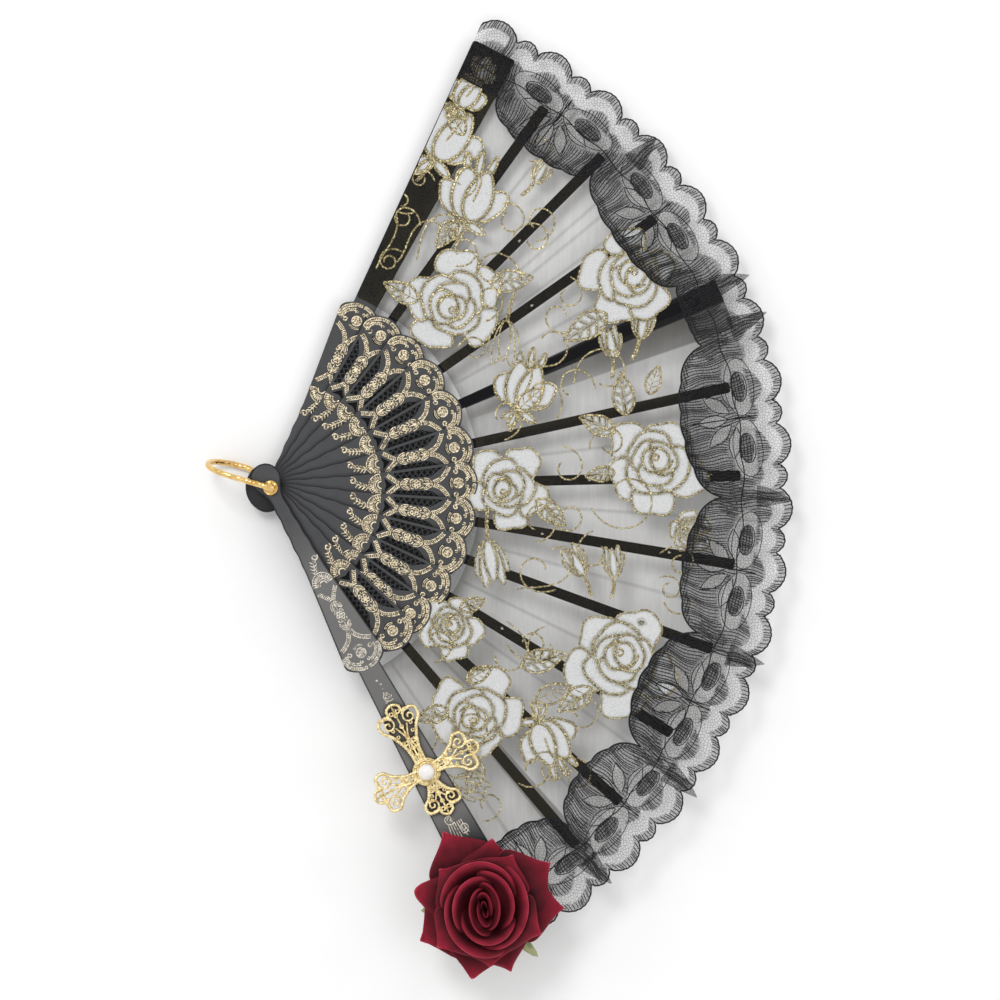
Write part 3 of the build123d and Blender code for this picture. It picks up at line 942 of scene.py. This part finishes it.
# Tendrils: place, heading, length and bend at both ends.
for at, heading, length, bend, curl in (
    ((64.5, 106), 70, 46, -3.0, 13), ((61.2, 112), 40, 34, 6, -15), ((60.5, 132), 95, 30, 5, 22),
    ((57.5, 118), 75, 40, 2, -14), ((56.6, 152), 20, 30, 5, 17), ((51.0, 160), 10, 34, -6, -15),
    ((50.5, 126), -10, 30, 6, 16), ((46.2, 152), 60, 36, -4, -15), ((43.0, 158), 10, 34, 5, 14),
    ((39.6, 142), 100, 44, 2.5, 13), ((38.0, 118), 20, 34, 3, 18), ((37.0, 102), 60, 26, -6, -18),
    ((35.2, 160), -30, 28, -5, -18), ((27.0, 125), -40, 40, 3.5, 11), ((27.6, 148), 200, 30, -5, -16),
    ((19.0, 140), 90, 52, -3, -9), ((13.4, 128), 60, 40, 3, 14), ((11.6, 104), 20, 34, 4, 13),
    ((8.2, 128), -10, 34, -4, -15), ((6.8, 140), 90, 36, -5, -14), ((-3.6, 140), -60, 60, 3, 7),
    ((-5.0, 122), -80, 34, 5, 15), ((-7.6, 142), 200, 34, 5, 13), ((-9.6, 172), 40, 40, -4, -17),
    ((-13.0, 174), 20, 28, -7, -21), ((-11.6, 118), 10, 40, 5, 12), ((-19.6, 132), 200, 38, -3, -13),
    ((-22.4, 116), 10, 44, -2, 12), ((-26.8, 134), 200, 34, 4, 14), ((-29.6, 118), -30, 40, -2, -11),
    ((-33.6, 124), -60, 36, 4, 15), ((-38.0, 170), 0, 34, 6, 14), ((-41.4, 178), -20, 30, -6, -16),
    ((-45.0, 164), 20, 34, -5, -15), ((-50.0, 168), -30, 34, 5, 14), ((-54.6, 140), -10, 40, 4, 12),
    ((-56.6, 118), -30, 34, -3, -12), ((-57.6, 172), 0, 28, 6, 17), ((-47.0, 104), 10, 28, 5, 15),
    ((52.0, 182), -20, 26, 6, 17), ((17.0, 148), 100, 30, 5, 12), ((-16.0, 178), -70, 24, 5, 19),
    ((61.0, 118), 150, 32, 6, 26), ((62.6, 136), 200, 28, -5, -24), ((62.0, 152), 110, 24, 6, 26),
):
    tendril(at, heading, length, bend, curl)


def cut_to_gore(art, k):
    """The part of a flat drawing that lies in gore k, laid on the gore's surface."""
    points = np.array(art.points)
    theta = np.arctan2(points[:, 1], points[:, 0])
    high, low = gore_limits(k)
    near = (theta < high) & (theta > low)
    flat, faces = points, [face for face in art.faces if near[list(face)].any()]
    for angle, side in ((high, 1), (low, -1)):
        flat, faces = clip(flat, faces, side * (flat[:, 0] * math.sin(angle) - flat[:, 1] * math.cos(angle)))
    flat[:, 2] += gore_height(k, flat[:, 0], flat[:, 1])
    return flat, faces


# ------------------------------------------------------------------- the lace
CRESTS = (65.7, 60.0, 44.5, 26.5, 18.2, -1.2, -18.8, -35.0, -48.6, -62.2, -63.9)
DEPTHS = (1.0, 12.5, 12.5, 3.0, 17.0, 15.5, 17.0, 15.5, 15.5, 1.0)
CREST_RADIUS = 198.5
MEDALLION = 8  # least depth of a scallop that holds a medallion
HEART_RADIUS = 206.0  # circle on which the medallions' hearts and the sewn line lie
LOBE_PAIR = 7.3  # degrees taken by one large and one small lobe of the outer edge
CLOSE_EDGE = 3.6  # width of the close work along the inner edge
OUTER_BAND = 4.4  # width of the worked band along the outer edge
EYE_AT = (2.5, 13.5)  # an eye's place outwards from a medallion's heart and to its side
EYE = (3.3, 6.5)  # an eye's half width and half length
RAY_PITCH = 38  # degrees between the petals that fan inwards from a heart
RAY = (4, 14)  # where such a petal starts, from the heart, and its length
FOLDS = (61.5, 42.0, 24.4, 19.2, -1.0, -20.0, -35.6, -49.6)  # doubled folds of the lace


def scallop(theta):
    """For angles in degrees: place within the scallop from -1 to 1, its middle, and its depth."""
    edges = np.array(CRESTS)
    index = np.clip(np.searchsorted(-edges, -theta, side="right") - 1, 0, len(DEPTHS) - 1)
    middle = (edges[index] + edges[index + 1]) / 2
    half = (edges[index] - edges[index + 1]) / 2
    return np.clip((theta - middle) / half, -1, 1), middle, np.array(DEPTHS)[index]


def lace_inner(theta):
    t, _, depth = scallop(theta)
    ripple = 0.9 * np.abs(np.sin(2.5 * math.pi * (t + 1))) * np.minimum(depth / 8, 1)
    return CREST_RADIUS - depth * np.sqrt(1 - t**2) ** 0.9 - ripple


def lace_outer(theta):
    phase = np.mod(theta + 4.6, LOBE_PAIR)
    large = phase < 4.6
    part = np.where(large, phase / 4.6, (phase - 4.6) / (LOBE_PAIR - 4.6))
    swell = np.sin(math.pi * part) ** 0.6
    jagged = 0.25 * np.abs(np.sin(math.pi * theta / 0.62))
    return 221.6 + np.where(large, 6.2, 3.9) * swell + jagged


def lace_density(theta, radius):
    """How closely the lace is worked at points (degrees, mm), from 0, clear, to 1, solid; at the crests' gathers
    it also paints shade.
    """
    _, middle, depth = scallop(theta)
    x = np.radians(theta - middle) * HEART_RADIUS
    y = radius - HEART_RADIUS
    outer = lace_outer(theta)
    inner = lace_inner(theta)
    full = depth > MEDALLION
    rho = np.hypot(x, y)
    phi = np.degrees(np.arctan2(x, -y))
    density = np.full(np.shape(theta), 0.21)
    # close work round the two eyes beside the heart
    eyes = [np.hypot((x - side * EYE_AT[1]) / EYE[1], (y - EYE_AT[0]) / EYE[0]) for side in (1, -1)]
    density = np.where((np.minimum(*eyes) < 2.6) & full, 0.3, density)
    # light petals that fan inwards from the heart
    ray = np.abs(np.mod(phi + RAY_PITCH / 2, RAY_PITCH) - RAY_PITCH / 2)
    opening = np.sin(math.pi * np.clip((rho - RAY[0]) / RAY[1], 0, 1)) * 2.5
    petal = (ray * math.pi / 180 * rho < opening) & (np.abs(phi) < 98) & full
    density = np.where(petal, 0.02, density)
    # dense rim along the inner edge
    density = np.where((radius - inner < CLOSE_EDGE) & ~petal, 0.5, density)
    # the eyes, each in a light ring
    for eye in eyes:
        density = np.where((eye < 1.95) & full, 0.01, density)
        density = np.where((eye < 1) & full, 0.62, density)
    # worked band outside the sewn line, and an open band that winds along it
    phase = np.radians(theta) * 2 * math.pi / math.radians(LOBE_PAIR)
    winding = outer - 9.6 - 1.5 * np.cos(phase)
    worked = (radius > HEART_RADIUS + 6.5) & (radius < winding)
    density = np.where(worked, 0.4, density)
    teeth = 1.1 * np.abs(np.mod(theta * 3.2, 1) - 0.5)
    band_edge = outer - OUTER_BAND + teeth
    open_band = (radius > winding - teeth) & (radius < band_edge)
    density = np.where(open_band, 0.0, density)
    density = np.where(radius >= band_edge, 0.34, density)
    # the end sewn to the back guard
    density = np.where((theta > 62.0) & ~open_band, np.maximum(density, 0.45), density)
    # doubled folds, and the gathers at the crests, whose dark clumps are part gathered lace and part painted shade
    for angle in FOLDS:
        away = np.abs(np.radians(theta - angle)) * radius
        folded = (away < 1.3 + 0.05 * np.maximum(radius - 200, 0)) & (radius > 198)
        density = np.where(folded, 0.5 + 0.3 * np.sin(theta * 41), density)
    # painted shade among the gathers at the crests, on top of the gathered lace
    for crest in CRESTS[1:-1]:
        away = np.abs(np.radians(theta - crest)) * radius
        clump = (away < 7.5 - 0.6 * np.abs(radius - 200)) & (radius < 210)
        density = np.where(clump, 0.55 + 0.35 * np.sin(theta * 17 + radius * 0.6), density)
    return density


LACE_COLUMN = 0.75  # spacing of the net's columns and rows, in mm
LACE_ROWS = 56
LACE_REACH = (228.5, 181.0)  # largest and smallest radius of the lace
HATCH = 1.1  # spacing of the worked threads
FOLD_DENSITY = 0.6


def ruffle(x, y):
    """Waves of the lace's free edge beyond the leaf."""
    free = np.clip((np.hypot(x, y) - LEAF[1]) / 14, 0, 1)
    return free * (0.35 + 0.35 * np.sin(49 * np.arctan2(y, x)))


def polar(theta, radius):
    a = np.radians(theta)
    return np.column_stack((radius * np.cos(a), radius * np.sin(a)))


def gore_angles(k, rows, reach, pitch):
    """Angles in degrees for a grid over gore k, with columns about a pitch apart at a reach."""
    high, low = np.degrees(gore_limits(k))
    columns = int(math.radians(high - low) * reach / pitch) + 2
    return np.repeat(np.linspace(high, low, columns)[None, :], rows, 0)


def gore_sheet(k, theta, radius, lift, tone):
    """A cloth over gore k, from the polar places and the tones of its grid and its lift over them."""
    x, y = polar(theta.ravel(), radius.ravel()).T
    sheet = Drawing()
    sheet.grid(np.column_stack((x, y, gore_height(k, x, y) + lift(x, y), tone.ravel())), *theta.shape)
    return sheet


def lace_cloth(k):
    """The net in gore k; its tone is how closely it is worked."""
    theta = gore_angles(k, LACE_ROWS, HEART_RADIUS, LACE_COLUMN)
    share = np.linspace(0, 1, LACE_ROWS)[:, None]
    radius = lace_inner(theta) * (1 - share) + lace_outer(theta) * share
    return gore_sheet(k, theta, radius, lambda x, y: ruffle(x, y) + LACE_LIFT, lace_density(theta, radius))


def lace_work():
    """The worked threads of the whole lace, drawn flat."""
    art = Drawing()
    top, bottom = turns[0] + GUARD_OVERLAP, turns[-1] - GUARD_OVERLAP
    # hatching along the radius, and cross threads, where the work is close
    pitch = math.degrees(HATCH / HEART_RADIUS)
    for number, theta in enumerate(np.arange(bottom + pitch / 2, top, pitch)):
        inner, outer = (edge(np.array([theta]))[0] for edge in (lace_inner, lace_outer))
        radius = np.arange(inner + 0.3, outer - 0.2, 0.55)
        lean = theta + 0.12 * math.sin(number) + 0.2 * np.sin(radius * 0.34 + theta * 0.8)
        density = lace_density(lean, radius)
        for first, final in runs(density > 0.15):
            if final - first > 1:
                line = polar(lean[first:final], radius[first:final])
                art.ribbon(line[:: max(1, (final - first) // 12)], 0.4, 0, 0.03)
    for radius in np.arange(183, 228, 1.35):
        theta = np.arange(bottom + 0.1, top - 0.1, 0.2)
        density = lace_density(theta, np.full(len(theta), radius))
        inside_lace = (lace_inner(theta) < radius) & (lace_outer(theta) > radius)
        for first, final in runs((density > 0.45) & inside_lace):
            if final - first > 2:
                art.ribbon(polar(theta[first:final], np.full(final - first, radius)), 0.34, 0, 0.03)
    # edges, the sewn line, and each medallion's stem and eyes
    theta = np.arange(bottom, top, 0.12)
    art.ribbon(polar(theta, lace_inner(theta) + 0.3), 0.75, 0.02, 0.08)
    art.ribbon(polar(theta, lace_outer(theta) - 0.3), 0.65, 0.02, 0.08)
    art.ribbon(polar(theta, HEART_RADIUS + 0.7 * np.sin(theta)), 0.5, 0.02, 0.06)
    for high, low, depth in zip(CRESTS[:-1], CRESTS[1:], DEPTHS):
        if depth < MEDALLION:
            continue
        middle = (high + low) / 2
        heart = (middle, HEART_RADIUS)
        stem = np.linspace(CREST_RADIUS - depth + 2, HEART_RADIUS + 9, 30)
        art.ribbon(polar(np.full(30, middle), stem), 0.55, 0.02, 0.06)
        for ray in range(-2 * RAY_PITCH, 2 * RAY_PITCH + 1, RAY_PITCH):
            for side in (1, -1):
                t = np.linspace(0, 1, 14)
                rim = np.column_stack((RAY[0] + RAY[1] * t, side * 2.7 * np.sin(math.pi * t)))
                art.ribbon(place(rim, heart, middle + 180 + ray), 0.42, 0.02, 0.05)
        for side in (1, -1):
            for size, width in (((6.4, 12.6), 0.35), (EYE, 0.4)):
                oval = arc((0, 0), 1, 0, 350, 0.1) * size + (EYE_AT[0], EYE_AT[1] * side)
                art.ribbon(place(oval, heart, middle), width, 0.02, 0.05, True)
    return art


def fold_tips():
    """Doubled folds whose points stand out past the lace's edge."""
    art = Drawing()
    for number, angle in enumerate(FOLDS[1:]):
        rows = []
        for share in np.linspace(0, 1, 9):
            radius = 212 + (15.5 + number % 3) * share
            half = 4.6 * (1 - share**1.6) + 0.2
            lean = (1.4 - number % 2 * 3) * share**2
            for side in np.linspace(-1, 1, 7):
                lift = 0.2 + 0.9 * (1 - side * side) * math.sin(math.pi * min(share + 0.15, 1))
                flat = place([(radius, half * side + lean)], (0, 0), angle)[0]
                rows.append((*flat, lift, FOLD_DENSITY))
        art.grid(rows, 9, 7)
    return art


work = lace_work()
tips = fold_tips()

# ------------------------------------------------- the gores: leaf, print, lace
# Stretches where the leaf lies doubled: from and to in degrees, and how dark.
DOUBLED = ((25.2, 22.4, 0.96), (22.4, 18.9, 0.55), (-48.3, -50.6, 0.5), (61.0, 60.2, 0.35), (-63.0, -61.0, 0.6))
# Angles of the narrow creases, in degrees, each painted with a thin line of shade.
CREASES = (51.0, 41.2, 39.5, 36.5, 29.5, 12.9, 7.0, -3.9, -15.0, -26.0, -35.5, -45.0, -55.5)
LEAF_ROWS = 34
LEAF_COLUMN = 0.9  # spacing of the cloth's columns at its outer edge


def leaf_cloth(k):
    """The leaf's cloth in gore k; its tone is how far it lies in two layers, plus painted shade along the creases.
    """
    theta = gore_angles(k, LEAF_ROWS, LEAF[1], LEAF_COLUMN)
    radius = np.repeat(np.linspace(*LEAF, LEAF_ROWS)[:, None], theta.shape[1], 1)
    doubling_and_crease_shade = np.zeros(theta.shape)
    for first, final, dark in DOUBLED:
        grown = dark * np.clip(0.55 + 0.45 * (radius - 120) / 60, 0.4, 1) if dark < 0.9 else dark
        doubling_and_crease_shade = np.where((theta <= first) & (theta >= final), grown, doubling_and_crease_shade)
    # painted shade: a thin dark line along each crease
    for crease in CREASES:
        away = np.abs(np.radians(theta - crease)) * radius
        doubling_and_crease_shade = np.maximum(doubling_and_crease_shade, 0.3 * np.clip(1 - away / 1.1, 0, 1))
    hem = np.clip(1 - (radius - LEAF[0]) / 1.6, 0, 1) * 0.35
    doubling_and_crease_shade = np.maximum(doubling_and_crease_shade, hem)
    return gore_sheet(k, theta, radius, lambda x, y: CLOTH_LIFT, doubling_and_crease_shade)


def flat_area(points, faces):
    """Area in square metres of faces seen from above."""
    p = np.asarray(points, float)[:, :2] * MM
    area = 0.0
    for face in faces:
        q = p[list(face)]
        area += abs(np.dot(q[:, 0], np.roll(q[:, 1], -1)) - np.dot(q[:, 1], np.roll(q[:, 0], -1))) / 2
    return area


def fold_between(piece):
    """Bakes the placement of a gore's piece into its mesh."""
    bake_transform(piece)


for k in range(last):
    number = f"{k + 1:02d}"
    sheet = leaf_cloth(k)
    leaf_piece = add_piece(f"leaf_cloth_{number}", sheet.points, sheet.faces, cloth)
    prints = []
    for label, art, finish, slot in (
        ("flock", flock_art, white, "white_flock"), ("glitter", gold_art, gold, "gold_glitter"),
    ):
        points, faces = cut_to_gore(art, k)
        printed = add_piece(f"leaf_{label}_{number}", points, faces, finish)
        prints.append(printed)
    lace = lace_cloth(k)
    lace_piece = add_piece(f"lace_net_{number}", lace.points, lace.faces, net)
    stitched = []
    for label, art, finish in (("threads", work, thread), ("folds", tips, net)):
        points, faces = cut_to_gore(art, k)
        if len(faces) == 0:
            continue
        points[:, 2] += ruffle(points[:, 0], points[:, 1]) + THREAD_LIFT
        worked = add_piece(f"lace_{label}_{number}", points, faces, finish)
        stitched.append(worked)
    for cut, drawn, outer, inner, slot, extras, replaced in (
        (leaf_piece, sheet, LEAF[1], LEAF[0], "organza", prints, f"leaf_gore_{number}"),
        (lace_piece, lace, *LACE_REACH, "lace", stitched, f"lace_gore_{number}"),
    ):
        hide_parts(replaced)
        flat_area(drawn.points, drawn.faces)
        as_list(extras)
    for piece in (leaf_piece, lace_piece, *prints, *stitched):
        fold_between(piece)


# ------------------------------------------------------------- the velvet rose
petal_floor = low_mm("rose_outer_petals")
tall = high_mm("rose_bud") - petal_floor
rose_x, rose_y = middle_mm("rose_bud")


def curved_piece(name, surface, rows, columns, thickness, finish):
    """A piece of the rose from surface(a, b), with a across from -1 to 1 and b from base to tip."""
    shape = Drawing()
    points = [surface(a, b) for b in np.linspace(0, 1, rows) for a in np.linspace(-1, 1, columns)]
    shape.grid(points, rows, columns)
    points = np.array(shape.points)
    points[:, :2] += (rose_x, rose_y)
    piece = add_piece(name, points, shape.faces, finish)
    shell = piece.modifiers.new("shell", "SOLIDIFY")
    shell.thickness = thickness * MM
    shell.offset = 0
    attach(piece, "front_guard")
    return piece


def velvet_petal(name, surface, thickness):
    """A petal whose tone rises to its tip and its rims, which catch the light."""

    def lit_surface(a, b):
        rim = max(0.0, 0.95 - (1 - b) * 22, 0.6 - (1 - abs(a)) * 14) if b > 0.35 else 0.0
        return (*surface(a, b), max(rim, 0.8 * max(0, b - 0.1) ** 2.2))

    piece = curved_piece(name, lit_surface, 22, 25, thickness, red)
    finer = piece.modifiers.new("finer", "SUBSURF")
    finer.levels = finer.render_levels = 1
    return piece


SHARP = 0.93  # how pointed most outer petals are, where 1 is a point


def spread_petal(heading, reach, width, base, arch, droop, seed, sharp=SHARP):
    """An outer petal: it leans outwards, its sides roll back, and its tip is as pointed as sharp says."""
    rng = random.Random(seed)
    wobble = rng.uniform(0, 6)
    turn = math.radians(heading)

    def surface(a, b):
        outline = math.sin(math.pi * min(b * 0.62 + 0.1, 1)) ** 0.8
        outline *= 1 - sharp * max(0, (b - 0.62) / 0.38) ** 1.6
        across = width * outline * a * (1 - 0.1 * a * a)
        out = 2.5 + reach * (b - (0.1 + 0.6 * (SHARP - sharp)) * a * a * b)
        roll = -droop * (abs(a) ** 3) * b * 2.2 + 1.3 * math.sin(3 * a + wobble) * b * b
        sag = droop * max(0, b - 0.55) ** 2 * 12
        height = base + arch * math.sin(math.pi * 0.55 * b) - sag + roll * (0.4 + b)
        return (*turned(out, across, turn), max(height, petal_floor - 1.2))

    return surface


WHORL_HEADING = 96  # direction of the whorls' longer axis, in degrees


def cup_petal(heading, spread, radius, height, flare, tuck, stretch, seed):
    """An inner petal that wraps round the heart; its rim turns outwards and one side tucks under."""
    rng = random.Random(seed)
    wobble = rng.uniform(0, 6)

    def surface(a, b):
        angle = math.radians(heading + a * spread / 2)
        rise = math.sin(math.pi / 2 * min(1, b * 1.12)) ** 0.9
        out = radius * (0.42 + 0.58 * min(1, b * 1.25) ** 0.8) + tuck * a
        out += flare * max(0, (b - 0.72) / 0.28) ** 2 * (1 - 0.5 * a * a)
        lip = -1.6 * max(0, (b - 0.86) / 0.14) ** 2
        sides = (2.6 * abs(a) ** 3 + 0.3 * height * abs(a) ** 8) * b
        z = petal_floor + 3 + (height - 3) * rise + lip - sides + 0.5 * math.sin(2.5 * a + wobble) * b
        x, y = out * math.cos(angle), out * math.sin(angle) * stretch
        return (*turned(x, y, math.radians(WHORL_HEADING)), z)

    return surface


# Spread petals: heading, reach, half width and, in the outer ring, how pointed they are.
outer_ring = (
    (119, 37.5, 17, 0.93), (84, 30, 15, 0.9), (34, 34.5, 18, 0.93), (-1, 34.5, 17, 0.93), (-68, 30.5, 14, 0.95),
    (-100, 32, 17, 0.75), (-152, 32, 18, 0.9), (167, 31.5, 17, 0.4),
)
for number, (heading, reach, width, sharp) in enumerate(outer_ring):
    base = petal_floor + 0.2 + 0.9 * (number % 3)
    surface = spread_petal(heading, reach - 2.5, width, base, 4.5, 1.1, number, sharp)
    velvet_petal(f"rose_petal_outer_{number + 1}", surface, 0.5)
second_ring = ((62, 26, 15), (-25, 27, 15), (-85, 26, 15), (-140, 27, 15), (140, 26, 15))
for number, (heading, reach, width) in enumerate(second_ring):
    base = petal_floor + 4.0 + 0.8 * (number % 2)
    surface = spread_petal(heading, reach - 2.5, width, base, 9.5, 1.3, 20 + number)
    velvet_petal(f"rose_petal_second_{number + 1}", surface, 0.5)
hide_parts("rose_outer_petals")

# Whorls from the outside in: count, spread in degrees, radius, height, flare, tuck and stretch.
whorls = (
    (3, 172, 18.2, tall - 11.5, 2.4, 2.4, 0.9),
    (3, 165, 13.6, tall - 7.0, 2.0, 2.0, 0.86),
    (2, 205, 9.8, tall - 3.6, 1.2, 1.4, 0.62),
    (2, 200, 6.6, tall - 3.0, 0.6, 1.0, 0.5),
    (2, 190, 3.4, tall - 4.6, 0.3, 0.8, 0.4),
)
for level, (count, spread, radius, height, flare, tuck, stretch) in enumerate(whorls):
    for i in range(count):
        heading = 360 / count * i + 47 * level
        surface = cup_petal(heading, spread, radius, height, flare, tuck, stretch, 50 + 5 * level + i)
        velvet_petal(f"rose_petal_inner_{level + 1}_{i + 1}", surface, 0.45)
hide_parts("rose_middle_petals")
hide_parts("rose_bud")


SEPAL_HALF = 3.0
SEPAL_START = 3  # distance from the rose's middle at which a sepal starts
sepal_base = low_mm("rose_sepals")


def sepal_surface(heading, reach):
    """A rounded sepal, slightly domed."""

    def surface(a, b):
        outline = math.sin(math.pi * (0.12 + 0.88 * b)) ** 0.55 if b < 1 else 0.0
        out = SEPAL_START + (reach - SEPAL_START) * b
        z = sepal_base + 0.9 * math.sin(math.pi * b) - 0.5 * a * a * (1 - b)
        return (*turned(out, SEPAL_HALF * outline * a, math.radians(heading)), z)

    return surface


for number, (heading, reach) in enumerate(((-43.5, 32), (20, 25), (92, 25), (184, 28), (-120, 25))):
    surface = sepal_surface(heading, reach)
    curved_piece(f"rose_sepal_{number + 1}", surface, 16, 9, 0.6, green)
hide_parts("rose_sepals")


# ---------------------------------------------------------- the filigree cross
def tube(art, line, radius, twist=0.0, sides=6):
    """A round wire along a line of (x, y, z); a twist gives it the ridges of a two-strand rope."""
    line = np.asarray(line, float)
    along = np.gradient(line, axis=0)
    along /= np.maximum(np.linalg.norm(along, axis=1), 1e-9)[:, None]
    up = np.array([0.0, 0.0, 1.0])
    side = np.cross(along, up)
    side /= np.maximum(np.linalg.norm(side, axis=1), 1e-9)[:, None]
    normal = np.cross(side, along)
    run = np.concatenate(([0], np.cumsum(np.linalg.norm(np.diff(line, axis=0), axis=1))))
    points = []
    for i in range(len(line)):
        for j in range(sides):
            a = 2 * math.pi * j / sides
            r = radius * (1 + (0.22 * math.cos(2 * a - twist * run[i]) if twist else 0))
            points.append(line[i] + side[i] * r * math.cos(a) + normal[i] * r * math.sin(a))
    start = len(art.points)
    art.grid(points, len(line), sides, closed=True)
    art.faces.append(tuple(start + j for j in range(sides)))
    art.faces.append(tuple(start + (len(line) - 1) * sides + j for j in reversed(range(sides))))


BORDER = 0.78  # radius of the rope round an arm
TWIST = 5.2  # turn of the rope's ridges, in radians per mm
cross_z = low_mm("cross_frame") + BORDER
cross_x, cross_y = middle_mm("pearl")


def wire_line(art, line, radius, twist=0.0, height=0.0, sides=6):
    """A wire along a flat line, at a height over the cross's middle plane."""
    tube(art, np.column_stack((line, np.full(len(line), cross_z + height))), radius, twist, sides)


def cross_arm(art, turn, length, half):
    """One arm of the cross: a rope border with two round lobes and a point, filled with scrolls."""

    def lay(line, *form):
        wire_line(art, place(line, (0, 0), turns[-1] + turn) + (cross_x, cross_y), *form)

    shoulder = length - half * 0.95
    for side in (1, -1):
        border = [
            (2.6, 1.9), (shoulder * 0.5, 2.6), (shoulder * 0.82, half * 0.62), (shoulder, half * 0.98),
            (shoulder + half * 0.42, half * 0.92), (shoulder + half * 0.5, half * 0.45),
            (shoulder + half * 0.3, half * 0.3),
        ]
        lay(smooth(border, 0.35) * (1, side), BORDER, TWIST, 0, 8)
        eye = (shoulder + half * 0.1, side * half * 0.55)
        lay(arc(eye, (half * 0.36, 0.4), 30 * side, -480 * side, 0.4), 0.5, TWIST)
        tip = smooth([(shoulder + half * 0.46, half * 0.34), (length - 1.6, half * 0.3), (length, 0)], 0.35)
        lay(tip * (1, side), 0.68, TWIST, 0, 8)
        stem = [(3.4, 0.4), (shoulder * 0.45, 1.5), (shoulder * 0.7, 0.5), (shoulder * 0.95, half * 0.3)]
        lay(smooth(stem, 0.5) * (1, side), 0.48, TWIST)
        for u, v, radius, thick in (
            (shoulder * 0.62, 1.9, 0.9, 0.42), (shoulder * 0.34, 1.3, 0.7, 0.4),
            (length - half * 0.42, half * 0.17, 0.8, 0.42),
        ):
            lay(arc((u, side * v), radius, 0, 340, 0.35), thick)
        for share in (0.5, 0.64, 0.78, 0.92):
            lay(arc((shoulder * share, side * half * (0.62 * share - 0.1)), 0.62, 0, 340, 0.3), 0.34, 0, 0.3)
    lay([(3.0, 0), (length * 0.5, 0), (length - 0.6, 0)], 0.5)
    for share in (0.36, 0.52, 0.68, 0.84):
        lay(arc((length * share, 0), 0.75, 0, 350, 0.35), 0.34, 0, 0.35)
    lay(arc((length - 0.2, 0), 0.3, 0, 350, 0.2), 0.45)


filigree = Drawing()
for turn, length, half in ((0, 21.0, 8.0), (90, 25.5, 8.6), (180, 33.0, 9.2), (270, 25.5, 8.6)):
    cross_arm(filigree, turn, length, half)
for ring_radius, thick, height in ((4.9, 0.6, 0.0), (3.9, 0.45, 0.5), (5.8, 0.4, -0.1)):
    wire_line(filigree, arc((cross_x, cross_y), ring_radius, 0, 360, 0.4), thick, TWIST, height, 8)
BEADS = 16
for bead in range(BEADS):
    angle = 2 * math.pi * bead / BEADS
    spot = (cross_x + 5.4 * math.cos(angle), cross_y + 5.4 * math.sin(angle))
    wire_line(filigree, arc(spot, 0.42, 0, 350, 0.2), 0.34, 0, 0.3)
cross_piece = add_piece("cross_filigree", filigree.points, filigree.faces, wire)
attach(cross_piece, "front_guard")
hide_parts("cross_frame")

# --------------------------------------------------- floor, light and camera
floor_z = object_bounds()[0].z


def white_floor():
    look = Finish("floor_paper", (0.93, 0.93, 0.93), 0.9)
    look.feed(Base_Color=look.ramp(look.noise(40, 3), (0.3, (0.95, 0.95, 0.95)), (0.7, (0.97, 0.97, 0.97))))
    return look.made


half = 1.5 / MM
corners = [(x, y, floor_z / MM) for x, y in ((-half, -half), (half, -half), (half, half), (-half, half))]
add_piece("floor", corners, [(0, 1, 2, 3)], white_floor())


def softbox(name, place_at, size, power):
    data = bpy.data.lights.new(name, "AREA")
    data.shape = "DISK"
    data.size = size
    data.energy = power
    lamp = bpy.data.objects.new(name, data)
    lamp.location = place_at
    aim = -lamp.location.normalized()
    lamp.rotation_mode = "QUATERNION"
    lamp.rotation_quaternion = aim.to_track_quat("-Z", "Y")
    bpy.context.scene.collection.objects.link(lamp)


softbox("key_light", (-0.5, 0.9, 1.7), 0.7, 12)
softbox("fill_light", (1.2, -0.6, 1.6), 1.2, 3)

world = bpy.data.worlds.new("studio")
world.use_nodes = True
set_sockets(world.node_tree.nodes["Background"], {"Color": (1, 1, 1, 1), "Strength": 0.8})
bpy.context.scene.world = world
bpy.context.scene.view_settings.view_transform = "Standard"

camera_data = bpy.data.cameras.new("camera")
camera_data.lens = 246.6
camera = bpy.data.objects.new("camera", camera_data)
camera.location = (0.0999, -0.0053, 3.0)
bpy.context.scene.collection.objects.link(camera)
bpy.context.scene.camera = camera
